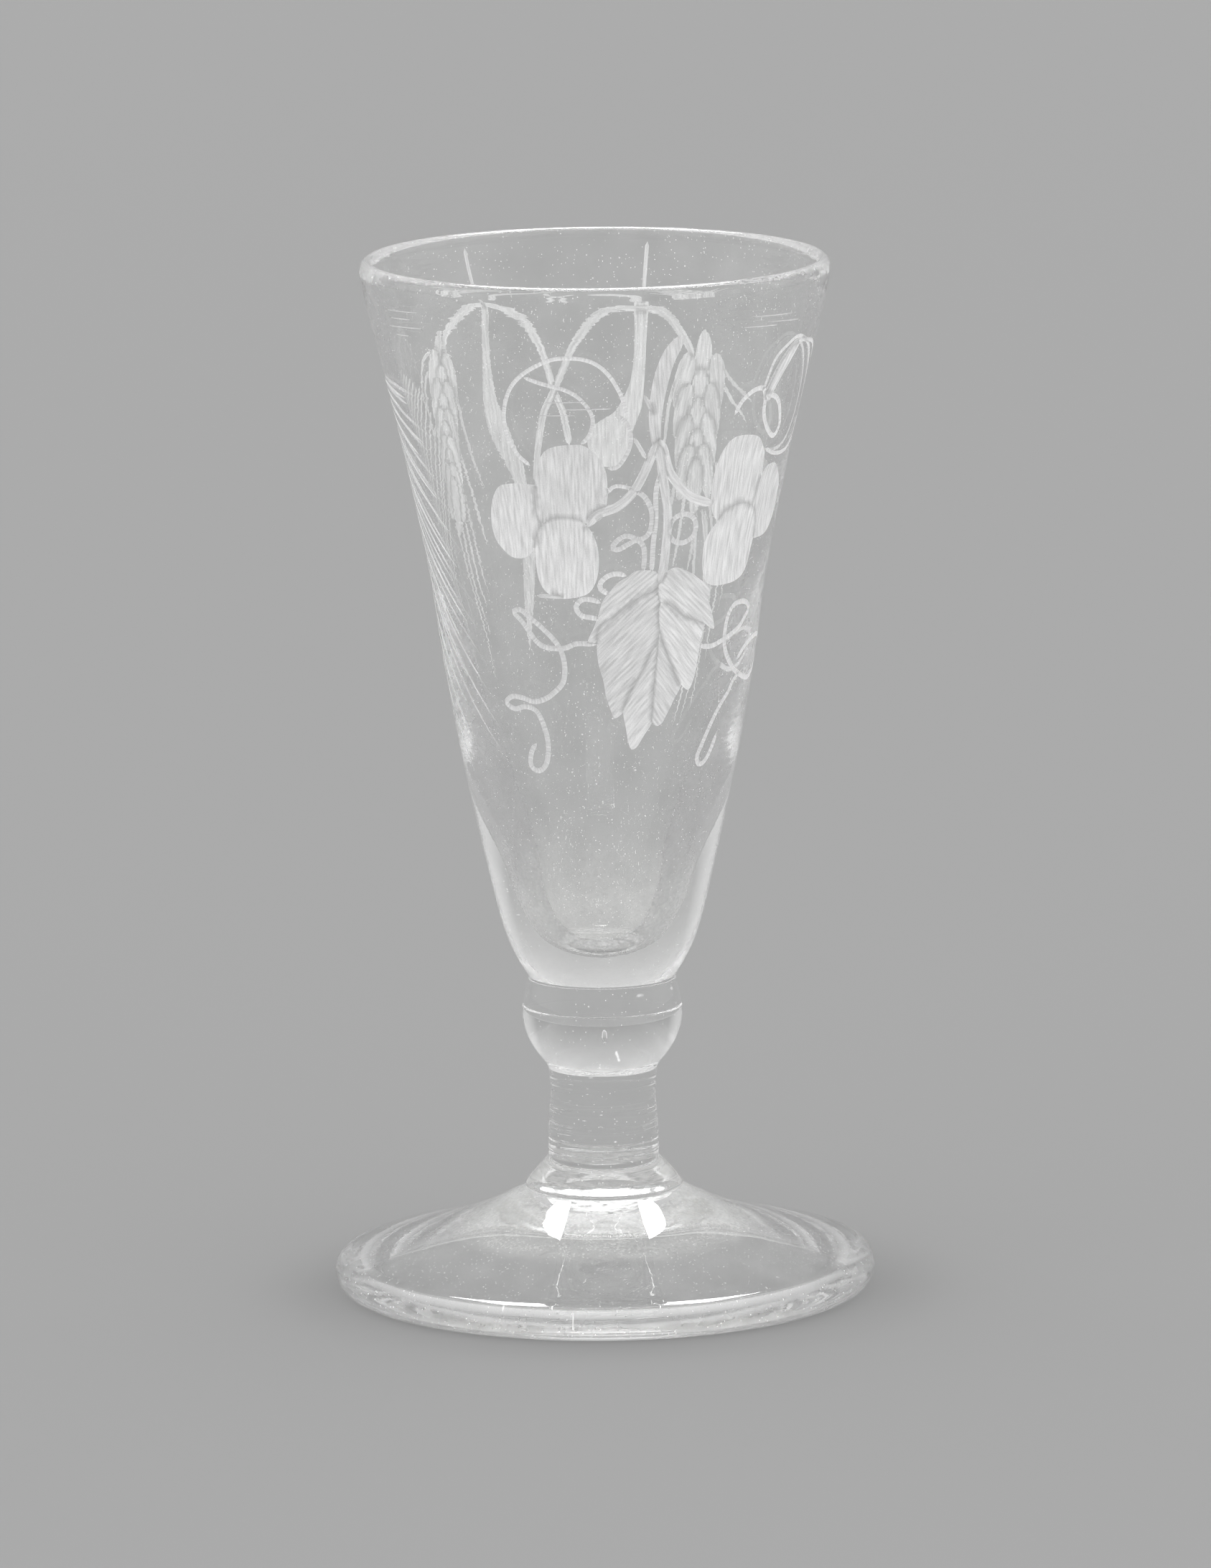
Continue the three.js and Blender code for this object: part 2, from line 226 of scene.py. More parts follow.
# Tendrils, cut with short ticks across the line
TENDRILS = [
    (TENDRIL, [(19.4, 104.5), (17.9, 102), (18.3, 98), (17.9, 95), (17.9, 91.6)]),
    (TENDRIL, [(11.3, 101.8), (13.8, 101.3), (16.3, 99.8), (17.1, 98.3), (16.3, 96.5), (13.8, 95.8),
        (9, 96.3), (6.7, 95.9), (4.6, 94.8), (6.3, 94.6), (10, 95.3), (12.5, 95.7), (14.6, 95),
        (15.2, 93.4), (15, 91.7)]),
    (FINE, [(2.9, 101.6), (5, 102.5), (9.2, 102.3), (11.3, 101.8)]),
    (TENDRIL, [(22.5, 96.3), (24.3, 98.1), (27.9, 98.6), (31.2, 98), (32.5, 96.8), (31.4, 95.6), (28, 95),
        (24.6, 95.4), (22.5, 96.6)]),
    (TENDRIL, [(9.5, 91.3), (6.5, 91.6), (3.6, 91.4), (1, 90.6), (0.6, 89.9), (2, 89.4), (4, 89)]),
    (TENDRIL, [(1, 88), (-2, 88.4), (-5.5, 88.4), (-7.6, 87.5), (-6, 86.5), (-2.6, 86.2), (0.5, 86)]),
    (FINE, [(3, 104.8), (5.5, 104.8), (8, 106), (9.7, 108), (8.8, 110), (6, 111.4)]),
    (FINE, [(-19.5, 105), (-22.4, 106), (-24.5, 107.3), (-25.8, 109), (-26, 111), (-24.9, 113),
        (-22.8, 114.8), (-19.5, 116.3), (-15.3, 117.5), (-11.2, 118.3), (-7, 118.5), (-2.8, 118.3),
        (0.5, 117.6), (3.4, 116.3), (5.5, 114.8), (7, 113.4), (8.6, 111)]),
    (FINE, [(-19.1, 116), (-15.3, 115.4), (-12, 115), (-8.7, 114.6), (-5.3, 113.8), (-2.4, 112.4),
        (-1, 111), (-1.4, 109.5), (-2.8, 108.4), (-4.5, 107.8)]),
    (TENDRIL, [(-0.6, 82.9), (-8.3, 82.9), (-11.7, 82.4), (-19.2, 82.4), (-22.1, 83), (-25, 84.3),
        (-27.5, 85.5), (-30.4, 86.6), (-27.9, 86.9), (-25, 86.2), (-20, 84.8), (-15, 83), (-12.9, 81.5),
        (-12.3, 79.5), (-13.3, 78), (-16.7, 76.8), (-20, 76), (-25, 75.5), (-30, 75.9), (-34.6, 75.9),
        (-37.3, 75.1), (-33.8, 74.4), (-29, 74.8), (-24.6, 74.4), (-22.2, 73), (-21.1, 71.7), (-20.6, 69.7),
        (-22.2, 67.7), (-25.6, 66.8), (-28.9, 67.3), (-28.3, 69), (-25.6, 70.3)]),
    (TENDRIL, [(38.6, 81.8), (44.3, 81.6), (50.2, 82.1), (55.6, 82.7), (60.2, 83.4), (63.8, 84.5),
        (65.8, 85.2), (63.8, 86), (59.3, 86.4), (54.7, 86.2), (52, 85.1), (50.9, 83.1), (51.5, 81.4),
        (54.7, 79.5), (59.3, 78.1), (63.8, 77.3), (69.3, 76.6), (74.7, 76.3), (79.7, 76.6), (84.5, 77.6),
        (88, 79.2), (86.5, 80.6), (80.5, 81.3), (72.9, 81.2), (66.5, 80.6), (60.6, 79.2)]),
    (TENDRIL, [(64, 77.3), (60.2, 76.6), (57.5, 75.3), (53.8, 74.1), (50.2, 72.5), (47.3, 70.8), (45, 69.2),
        (43.2, 67.8), (44.6, 66.9), (47.6, 67), (50.8, 68.3), (53.4, 70.4)]),
    (TENDRIL, [(41.5, 110.3), (43.8, 112), (47.9, 113.1), (51.5, 113.1), (53.2, 111.9), (53.8, 110.1),
        (55.6, 108.7), (58.8, 107.3), (62, 106.7), (64.3, 107.6), (63.4, 109.2), (60.2, 111.2), (56.5, 112),
        (53.4, 111.9)]),
    (FINE, [(51.6, 112.9), (54.7, 116.7), (59.3, 118.1), (63.8, 118.8), (69.3, 118.2), (74.7, 117),
        (80, 114.8), (84, 111.6), (84.4, 108.2), (81, 105.6), (76.3, 104.5), (70.2, 104.2), (63.8, 104.5),
        (58.4, 105.3)]),
    (FINE, [(53.2, 112.6), (57.5, 115.6), (61.1, 117.3), (65.6, 118.1), (72.9, 117.8), (79.7, 117),
        (86, 114.4), (90, 111)]),
]

# Awns of the barley, fine strokes that run out to a point
AWNS = [
    [(228.5, 108.4), (228, 103.8), (226.5, 99.7), (223.5, 95.9)],
    [(233.5, 102), (231.5, 97.5), (229, 92.9), (226.3, 89.5)],
    [(236, 101.5), (236, 96.5), (234.5, 92.9), (233, 88.4), (231.5, 82.9)],
    [(239, 97.9), (238.8, 94.3), (236.8, 88.4), (236.8, 84.7), (235.5, 80.9)],
    [(242, 93.8), (240.5, 90.2), (240.8, 82.9), (239, 77.2)],
    [(243.8, 92), (243.5, 81), (242.5, 72)],
    [(237, 114), (240, 113.6), (244, 112.4), (248, 109.7), (249.5, 107)],
    [(240.5, 111.6), (244, 110.6), (246.6, 108.6), (247.6, 105.5), (248, 102)],
    [(-92, 112.9), (-80, 112.4), (-65.3, 111.5)],
    [(-96, 112.3), (-84, 111.3), (-71.9, 110.2)],
    [(-99, 111.9), (-86, 110.2), (-72, 108.2), (-60, 106.3)],
    [(-102, 111.4), (-88, 109.1), (-76, 106.9), (-64.2, 104.5)],
    [(-105, 110.8), (-92, 108), (-76.7, 104.3), (-58.3, 99.4)],
    [(-107, 110.1), (-94, 106.8), (-79.4, 102.8), (-66, 99), (-55, 95.6)],
    [(-110, 110), (-97, 105.9), (-83, 101.2), (-68, 96), (-54.4, 91.2)],
    [(-113, 110), (-100, 104.9), (-85, 99.2), (-71.7, 94.3), (-58.3, 89.4)],
    [(-114.4, 108.6), (-101, 102.9), (-86, 96.8), (-69, 90.2), (-53.3, 84.6)],
    [(-115, 106.8), (-101, 100.5), (-87, 94.2), (-71, 87.4), (-58, 82.2)],
    [(-115.4, 104.9), (-102, 98), (-88, 90.9), (-72, 83.6), (-57.2, 77.6)],
    [(-115.4, 102.9), (-103, 95.7), (-89, 87.6), (-74, 79.9), (-60.6, 73.8)],
    [(-115, 101), (-103, 93.6), (-89, 84.8), (-75, 76.4), (-59.7, 68.8)],
    [(-115.4, 98.6), (-104, 91), (-91, 81.8), (-78, 73), (-66.1, 65.6)],
    [(155, 109.7), (156.8, 106), (157.3, 100.2)],
    [(151, 98), (152, 95), (153.3, 90.6)],
    [(147, 96), (148, 91), (149.8, 86.2)],
    [(143.3, 95), (141.5, 91), (142.8, 85.6)],
    [(141, 112), (135, 109.7), (129, 108.4), (122, 107.2)],
    [(139, 109.7), (134, 107.5), (129.5, 106.3), (123, 104.6)],
    [(141.5, 93), (139.5, 86), (138.2, 80), (139.2, 75), (141, 68.5)],
    [(138.5, 93), (134.5, 88.4), (132.4, 84), (132.6, 78), (133.2, 72), (134, 65.2)],
    [(137, 93), (133, 87.5), (130.7, 82), (129.5, 76), (128.8, 70), (128.6, 66.5)],
    [(136.5, 95), (130.5, 89), (127.3, 84), (125, 79), (123.6, 74), (122.3, 67.3)],
    [(136, 97), (127.5, 90), (122.7, 84.5), (120.3, 80), (117.5, 74.3)],
    [(135.5, 99), (124, 90.6), (118.3, 86.3), (116.5, 83.5), (115.5, 81.2)],
]

# Ears of barley: the middle line from the stalk down, and how far to the side the outer grains lie
EARS = [
    ([(233, 112.2), (235, 108.9), (237.5, 104.8), (240.2, 99.8), (242.8, 94.6)], 1.9),
    ([(146.6, 111.2), (146.4, 107.6), (145.6, 103.2), (144.2, 98.6), (143.4, 95.6)], 2.9),
]

# Slips of the wheel: hairlines beside the left ear, and scratches under the rim
SLIP_COUNT = 16
SLIP_TOP = (238.5, 108.4)
SLIP_STEP = (0.22, -1.05)
SLIP_LENGTHS = (8.5, 5.0, 7.0, 10.0, 6.0)
SCRATCHES = [
    [(-63, 122.6), (-50, 122.9)], [(-62, 121.7), (-53, 121.9)], [(-64, 120.6), (-49, 121)],
    [(-61, 119.7), (-55, 119.8)], [(42, 122.4), (58, 122)], [(48, 121.5), (62, 121)],
    [(40, 121.2), (52, 120.9)], [(-14, 112.9), (-3, 113.1)], [(-9, 112.1), (4, 112.2)],
    [(-16, 111.3), (-6, 111.4)],
]

# Grains of barley
KERNEL_PITCH = 3.7
KERNEL_LENGTH = 7.4
KERNEL_WIDTH = 2.5
KERNEL_TAPER_SHARE = 0.25
KERNEL_LEAN = math.radians(13)
KERNEL_POINTS = 20
EAR_TAPER_SHARE = 0.5

# How deep the wheel cut, how cuts taper and rise, and how they show where they lap, with painted shade near a
# later cut's edge
AWN_TAIL_SHARE = 0.3
STROKE_DEPTH = 0.11
SHAPE_DEPTH = 0.28
SHAPE_RISE = 0.9
RIDGE_SHARE = 0.35
EDGE_REACH = 0.002
# How far from a later cut's edge the painted shade reaches
LAP_SHADE_REACH = 0.4
TONE_STRIDE = 0.618

# The sheet on which the cut wall is worked out, and how its points are spread
SHEET_RADIUS = 24.0
SHEET_LOW = 62.0
SHEET_ROW = 1.2
SHEET_TOLERANCE = 1e-5
COURSE_STEP = 0.2
STROKE_STEP = 0.5
SHAPE_STEP = 0.5
SHAPE_FILL = 0.62
CLEARANCE = 0.3
TIP_HALF_WIDTH = 0.03

# Kinds of surface on a piece. The worked one is the bowl's engraving or the hollow under the foot
CLEAR, FUSED, WORKED = 0, 1, 2


def mix(low, high, share):
    return low + (high - low) * share


def lowest(node):
    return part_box(node)[0].z / MM


def highest(node):
    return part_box(node)[1].z / MM


def widest(node):
    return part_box(node)[1].x / MM


# Lines of points

def blended(t, start, end, first, second):
    """What lies between a first value at the start and a second one at the end."""
    return ((end - t) * first + (t - start) * second) / (end - start)


def flowing(points, step, closed=False):
    """A centripetal Catmull-Rom curve through points, in places about a step apart."""
    through = np.array(points, float)
    if closed:
        ends = np.vstack([through[-1:], through, through[:2]])
    else:
        ends = np.vstack([2 * through[0] - through[1], through, 2 * through[-1] - through[-2]])
    places = []
    for a, b, c, d in zip(ends, ends[1:], ends[2:], ends[3:]):
        gaps = [max(np.linalg.norm(q - p), FINE_STEP) ** 0.5 for p, q in ((a, b), (b, c), (c, d))]
        k0, k1, k2, k3 = np.cumsum([0, *gaps])
        count = max(1, math.ceil(np.linalg.norm(c - b) / step))
        t = np.linspace(k1, k2, count, endpoint=False)[:, None]
        ab, bc, cd = blended(t, k0, k1, a, b), blended(t, k1, k2, b, c), blended(t, k2, k3, c, d)
        abc, bcd = blended(t, k0, k2, ab, bc), blended(t, k1, k3, bc, cd)
        places.append(blended(t, k1, k2, abc, bcd))
    if not closed:
        places.append(through[-1:])
    return np.vstack(places)


def evened(line, step):
    """The same line with its points an even step apart."""
    along = np.concatenate([[0], np.cumsum(np.linalg.norm(np.diff(line, axis=0), axis=1))])
    count = max(2, round(along[-1] / step) + 1)
    at = np.linspace(0, along[-1], count)
    return np.column_stack([np.interp(at, along, line[:, k]) for k in range(line.shape[1])])


def relaxed(line, width, step):
    """The line with its bends evened out over a width. Its ends stay where they are."""
    fine = evened(line, FINE_STEP)
    reach = min(int(REACH_IN_WIDTHS * width / FINE_STEP), len(fine) - 1)
    weights = np.exp(-0.5 * (np.arange(-reach, reach + 1) * FINE_STEP / width) ** 2)
    head = 2 * fine[0] - fine[reach:0:-1]
    tail = 2 * fine[-1] - fine[-2:-reach - 2:-1]
    padded = np.vstack([head, fine, tail])
    calm = np.column_stack([np.convolve(padded[:, k], weights / weights.sum(), "valid") for k in range(2)])
    return evened(calm, step)


def outline(shares, radii, heights, width, step):
    """A smooth line of (radius, height) through an outline given in shares."""
    points = [(mix(*radii, across), mix(*heights, up)) for across, up in shares]
    line = relaxed(flowing(points, FINE_STEP), width, step)
    line[:, 0] = np.maximum(line[:, 0], 0)
    return line


def arc(centre, reach_out, reach_up, start, end, count):
    angles = np.linspace(start, end, count)
    return np.column_stack([centre[0] + reach_out * np.cos(angles), centre[1] + reach_up * np.sin(angles)])


# Skins turned on the axis

def around(azimuths, radius, height):
    """Places in space for azimuths, radii and heights."""
    angles = np.radians(azimuths)
    flat = np.broadcast_arrays(radius * np.sin(angles), -radius * np.cos(angles), height)
    return np.column_stack([np.ravel(values) for values in flat])


class Skin:
    """The corners and faces of a piece, with each face's kind of surface and the normals at its corners."""

    def __init__(self):
        self.places = []
        self.faces = []
        self.kinds = []
        self.normals = []
        self.marks = []
        # For each corner: painted shade near a later cut's edge, and its cut's own tone
        self.shade_and_tones = []
        self.azimuths = SEAM + np.arange(COLUMNS) * 360 / COLUMNS

    def ring(self, radius, height, swing=0.0):
        """Adds a ring of corners, moved out by a share of the radius, or the one corner on the axis."""
        first = len(self.places)
        if radius < TINY:
            self.places.append((0.0, 0.0, height))
            return [first] * COLUMNS
        self.places.extend(around(self.azimuths, radius * (1 + swing), height))
        return list(range(first, first + COLUMNS))

    def turn(self, line, kind, first=None, swings=None):
        """Turns a line round the axis, from a ring that is there if one is given. Returns the end rings."""
        line = np.asarray(line, float)
        swings = swings or {}
        tangents = np.gradient(line, axis=0)
        slopes = np.column_stack([tangents[:, 1], -tangents[:, 0]])
        slopes /= np.linalg.norm(slopes, axis=1)[:, None]
        rows = [first] if first else []
        for i in range(len(rows), len(line)):
            rows.append(self.ring(*line[i], swings.get(i, 0.0)))
        fans = [[tuple(n) for n in around(self.azimuths, out, up)] for out, up in slopes]
        for low, high, low_fan, high_fan in zip(rows, rows[1:], fans, fans[1:]):
            for j in range(COLUMNS):
                k = (j + 1) % COLUMNS
                corners = [(low[j], low_fan[j]), (low[k], low_fan[k])]
                corners += [(high[k], high_fan[k]), (high[j], high_fan[j])]
                if low[j] == low[k]:
                    corners.pop(1)
                elif high[j] == high[k]:
                    corners.pop(2)
                self.face(corners, kind)
        return rows[0], rows[-1]

    def turn_on(self, stretches, ring):
        """Turns lines of given kinds one after the other, from a ring that is there."""
        for line, kind in stretches:
            _, ring = self.turn(line, kind, ring)

    def face(self, corners, kind, marks=None, shade_and_tones=None):
        self.faces.append([place for place, _ in corners])
        self.normals.extend(normal for _, normal in corners)
        self.marks.extend(marks or [(0.0, 0.0)] * len(corners))
        self.shade_and_tones.extend(shade_and_tones or [(0.0, 0.0)] * len(corners))
        self.kinds.append(kind)

    def piece(self, name, node, materials):
        """Makes the Blender object that stands for a CAD node."""
        mesh = bpy.data.meshes.new(name)
        mesh.from_pydata((np.array(self.places) * MM).tolist(), [], self.faces)
        for material in materials:
            mesh.materials.append(material)
        mesh.polygons.foreach_set("material_index", self.kinds)
        mesh.polygons.foreach_set("use_smooth", [True] * len(self.faces))
        for layer_name, pairs in (("cut", self.marks), ("lap", self.shade_and_tones)):
            layer = mesh.uv_layers.new(name=layer_name)
            layer.data.foreach_set("uv", np.array(pairs, np.float32).ravel())
        mesh.update()
        mesh.normals_split_custom_set(self.normals)
        obj = bpy.data.objects.new(name, mesh)
        bpy.context.scene.collection.objects.link(obj)
        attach(obj, "root")
        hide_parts(node)


# The engraved wall, worked out on a sheet: the wall rolled out flat at one radius

class Wall:
    """The bowl's outside, as its radius and normal at each height."""

    def __init__(self, line):
        self.heights = line[:, 1]
        self.radii = line[:, 0]
        run = np.gradient(line, axis=0)
        run /= np.linalg.norm(run, axis=1)[:, None]
        self.out, self.up = run[:, 1], -run[:, 0]

    def radius(self, height):
        return np.interp(height, self.heights, self.radii)

    def scale(self, height):
        """How many real millimetres round the wall one millimetre of the sheet is."""
        return self.radius(height) / SHEET_RADIUS

    def space(self, sheet, depth):
        """Places in space for places on the sheet, cut in by a depth, and the wall's normals there."""
        azimuths = sheet[:, 0] / (SHEET_RADIUS * TAU) * 360
        height = sheet[:, 1]
        out, up = (np.interp(height, self.heights, values) for values in (self.out, self.up))
        places = around(azimuths, self.radius(height) - out * depth, height - up * depth)
        return places, around(azimuths, out, up)


def on_sheet(points):
    """Azimuths and heights as places on the sheet."""
    flat = np.array(points, float)
    flat[:, 0] = np.where(flat[:, 0] > SEAM + 360, flat[:, 0] - 360, flat[:, 0])
    flat[:, 0] *= SHEET_RADIUS * TAU / 360
    return flat


def nearest(places, line, wall):
    """For each place: its distance to a line, where on it the nearest point is, and the offset sideways."""
    factor = wall.scale(places[:, 1])[:, None]
    gap_x = (places[:, None, 0] - line[None, :-1, 0]) * factor
    gap_z = places[:, None, 1] - line[None, :-1, 1]
    run_x = np.diff(line[:, 0])[None] * factor
    run_z = np.broadcast_to(np.diff(line[:, 1])[None], run_x.shape)
    square = np.maximum(run_x**2 + run_z**2, TINY_SQUARE)
    share = np.clip((gap_x * run_x + gap_z * run_z) / square, 0, 1)
    off_x, off_z = gap_x - share * run_x, gap_z - share * run_z
    distance = np.hypot(off_x, off_z)
    best = distance.argmin(1)
    rows = np.arange(len(places))
    side = np.sign(off_x[rows, best] * run_z[rows, best] - off_z[rows, best] * run_x[rows, best])
    return distance[rows, best], best + share[rows, best], side * distance[rows, best]


def inside(places, ring):
    """Whether each place lies inside a ring of points."""
    ax, az = ring.T
    bx, bz = np.roll(ring, -1, axis=0).T
    x, z = places[:, 0, None], places[:, 1, None]
    spans = (az > z) != (bz > z)
    cross = ax + (z - az) * (bx - ax) / np.where(bz == az, 1, bz - az)
    return (spans & (x < cross)).sum(1) % 2 == 1


class Cut:
    """A cut of the wheel in the wall. It follows a line or fills one, and may reach aside of it."""

    def near(self, places):
        """The numbers of the places that lie in the cut's box or a little outside it."""
        low, high = self.line.min(0), self.line.max(0)
        spare = (self.reach + CLEARANCE) * 2
        return np.flatnonzero(((places > low - spare) & (places < high + spare)).all(1))

    def covers(self, places):
        """Whether places are in the cut or on its edge."""
        return self.holds(places) | (self.gap(places) < EDGE_REACH)


class Stroke(Cut):
    """One pull of the wheel along a line: a shallow groove that narrows at both ends."""

    def __init__(self, wall, width, points, ticked=False, tail=0.0):
        self.wall = wall
        self.line = evened(flowing(on_sheet(points), COURSE_STEP), STROKE_STEP)
        steps = np.diff(self.line, axis=0)
        steps[:, 0] *= wall.scale(self.line[1:, 1])
        self.along = np.concatenate([[0], np.cumsum(np.linalg.norm(steps, axis=1))])
        head = np.sqrt(np.clip(self.along / width, 0, 1))
        left = self.along[-1] - self.along
        foot = np.sqrt(np.clip(left / max(width, tail * self.along[-1]), 0, 1))
        self.half = np.maximum(width / 2 * head * foot, TIP_HALF_WIDTH)
        self.reach = width / 2
        self.ticked = ticked

    def edges(self):
        """The groove's points in three rows, and the edges that join them."""
        factor = self.wall.scale(self.line[:, 1])
        run = np.gradient(self.line, axis=0)
        run[:, 0] *= factor
        run /= np.linalg.norm(run, axis=1)[:, None]
        across = np.column_stack([run[:, 1] / factor, -run[:, 0]]) * self.half[:, None]
        rows = np.vstack([self.line - across, self.line, self.line + across])
        count = len(self.line)
        joins = [(lane * count + i, lane * count + i + 1) for lane in range(3) for i in range(count - 1)]
        for end in (0, count - 1):
            joins += [(end, end + count), (end + count, end + 2 * count)]
        return rows, joins

    def middle(self, places):
        """For each place its distance to the groove's middle line, and the groove's half width there."""
        distance, index, _ = nearest(places, self.line, self.wall)
        return distance, np.interp(index, np.arange(len(self.half)), self.half)

    def gap(self, places):
        """How far places are outside the groove."""
        distance, half = self.middle(places)
        return distance - half

    def holds(self, places):
        return self.gap(places) < 0

    def deepened(self, places, depth):
        """The depth of the wall at places once this groove is cut as well."""
        distance, half = self.middle(places)
        hollow = np.clip(1 - (distance / half) ** 2, 0, None)
        return depth + STROKE_DEPTH * np.sqrt(half / self.reach) * hollow

    def marks(self, places):
        """Where places are along the stroke and across it, which is where its streaks run."""
        _, index, side = nearest(places, self.line, self.wall)
        along = np.interp(index, np.arange(len(self.along)), self.along)
        return np.column_stack([along, side] if self.ticked else [side, along])


class Shape(Cut):
    """An area that the wheel dished out with close strokes, all with one lean."""

    def __init__(self, wall, lean, sheet_points):
        self.wall = wall
        self.reach = 0.0
        ring = flowing(sheet_points, SHAPE_STEP, closed=True)
        area = (ring[:, 0] * np.roll(ring[:, 1], -1) - np.roll(ring[:, 0], -1) * ring[:, 1]).sum()
        self.ring = ring if area > 0 else ring[::-1]
        self.line = np.vstack([self.ring, self.ring[:1]])
        self.lean = math.radians(lean)

    def edges(self):
        """The points of the shape's edge, and the edges that join them."""
        count = len(self.ring)
        return self.ring, [(i, (i + 1) % count) for i in range(count)]

    def gap(self, places):
        """How far places are from the edge, on either side of it."""
        return nearest(places, self.line, self.wall)[0]

    def holds(self, places):
        return inside(places, self.ring)

    def deepened(self, places, depth):
        """The depth of the wall once this dish is cut as well. Its edge stays proud of what it crosses."""
        dish = SHAPE_DEPTH * (1 - np.exp(-self.gap(places) / SHAPE_RISE))
        return np.where(self.covers(places), np.maximum(dish, RIDGE_SHARE * depth), depth)

    def marks(self, places):
        """Where places are across the strokes and along them."""
        centre = self.ring.mean(0)
        x = (places[:, 0] - centre[0]) * self.wall.scale(centre[1])
        z = places[:, 1] - centre[1]
        sine, cosine = math.sin(self.lean), math.cos(self.lean)
        return np.column_stack([x * cosine - z * sine, x * sine + z * cosine]) + centre


def kernel(wall, centre, heading):
    """One grain of barley: a pointed oval."""
    turn = np.linspace(0, TAU, KERNEL_POINTS, endpoint=False)
    long = KERNEL_LENGTH / 2 * np.cos(turn)
    wide = KERNEL_WIDTH / 2 * np.sin(turn) * (1 - KERNEL_TAPER_SHARE * np.cos(turn))
    factor = wall.scale(centre[1])
    x = centre[0] + (long * math.sin(heading) + wide * math.cos(heading)) / factor
    z = centre[1] + long * math.cos(heading) - wide * math.sin(heading)
    return Shape(wall, math.degrees(heading), np.column_stack([x, z]))


def ear_of_barley(wall, points, spread):
    """Grains in three columns, which lap each other and draw together down the ear."""
    line = evened(flowing(on_sheet(points), COURSE_STEP), KERNEL_PITCH / 2)
    run = np.gradient(line, axis=0)
    grains = []
    for i, (place, step) in enumerate(zip(line, run)):
        factor = wall.scale(place[1])
        heading = math.atan2(step[0] * factor, step[1])
        if i % 2 == 0:
            grains.append(kernel(wall, place, heading))
            continue
        for side in (-1, 1):
            reach = side * spread * (1 - EAR_TAPER_SHARE * i / len(line))
            aside = np.array([math.cos(heading) * reach / factor, -math.sin(heading) * reach])
            grains.append(kernel(wall, place + aside, heading + side * KERNEL_LEAN))
    return grains


def slips():
    """Hairlines that step down beside the left ear."""
    for k in range(SLIP_COUNT):
        azimuth, height = SLIP_TOP[0] + k * SLIP_STEP[0], SLIP_TOP[1] + k * SLIP_STEP[1]
        reach = SLIP_LENGTHS[k % len(SLIP_LENGTHS)]
        yield [(azimuth, height), (azimuth - reach, height - HAIR)]


def all_cuts(wall):
    """Every cut, in the order in which they were made."""
    cuts = [Stroke(wall, HAIR, points) for points in (*SCRATCHES, *slips())]
    cuts += [Stroke(wall, AWN, points, tail=AWN_TAIL_SHARE) for points in AWNS]
    for points, spread in EARS:
        cuts += ear_of_barley(wall, points, spread)
    cuts += [Shape(wall, lean, on_sheet(points)) for lean, points in BLADES]
    cuts += [Stroke(wall, width, points, ticked=True) for width, points in TENDRILS]
    cuts += [Shape(wall, 0, on_sheet(points)) for points in HOP_PETALS]
    cuts += [Shape(wall, lean, on_sheet(points)) for lean, points in HOP_LEAF_LOBES]
    cuts += [Stroke(wall, width, points) for width, points in STEMS]
    return cuts


def owners(cuts, places):
    """The number of the last cut that holds each place, or -1."""
    found = np.full(len(places), -1)
    for number, cut in enumerate(cuts):
        at = cut.near(places)
        if len(at):
            found[at[cut.holds(places[at])]] = number
    return found


def spare_points(cuts, columns, rows, low, high):
    """Points between the cuts and within the shapes, clear of every edge."""
    plain = np.array([(x, z) for z in rows for x in columns[1:-1]])
    fill = []
    for k, z in enumerate(np.arange(low + SHAPE_FILL, high, SHAPE_FILL)):
        xs = np.arange(columns[0] + SHAPE_FILL * (1 + k % 2 / 2), columns[-1] - SHAPE_FILL, SHAPE_FILL)
        fill.append(np.column_stack([xs, np.full(len(xs), z)]))
    fill = np.vstack(fill)
    shapes = [cut for cut in cuts if isinstance(cut, Shape)]
    points = np.vstack([plain[owners(shapes, plain) < 0], fill[owners(shapes, fill) >= 0]])
    for cut in cuts:
        at = cut.near(points)
        if len(at):
            points = np.delete(points, at[cut.gap(points[at]) < CLEARANCE], axis=0)
    return points


def cut_sheet(cuts, low, high):
    """The sheet's points, its triangles, which follow every edge, and the number of the cut that each is in.

    Last come the numbers of the points in the bottom row, in the top row and in the seams between them."""
    left, right = on_sheet([(SEAM, 0), (SEAM + 360, 0)])[:, 0]
    columns = np.linspace(left, right, COLUMNS + 1)
    rows = np.linspace(low, high, round((high - low) / SHEET_ROW) + 1)[1:-1]
    border = [(columns, low), (columns, high), (left, rows), (right, rows)]
    points = [np.column_stack(np.broadcast_arrays(x, z)) for x, z in border]
    ends = np.cumsum([0, *map(len, points)]).tolist()
    points.append(spare_points(cuts, columns, rows, low, high))
    offset = sum(map(len, points))
    edges = []
    for cut in cuts:
        traced, joins = cut.edges()
        edges += [(offset + a, offset + b) for a, b in joins]
        points.append(traced)
        offset += len(traced)
    vectors = [Vector(p) for p in np.vstack(points).tolist()]
    made = delaunay_2d_cdt(vectors, edges, [], 0, SHEET_TOLERANCE)
    sheet = np.array([tuple(p) for p in made[0]])
    triangles = np.array(made[2])
    owned = owners(cuts, sheet[triangles].mean(1))
    from_input = {source: new for new, ids in enumerate(made[3]) for source in ids}
    return sheet, triangles, owned, [[from_input[i] for i in range(*span)] for span in zip(ends, ends[1:])]


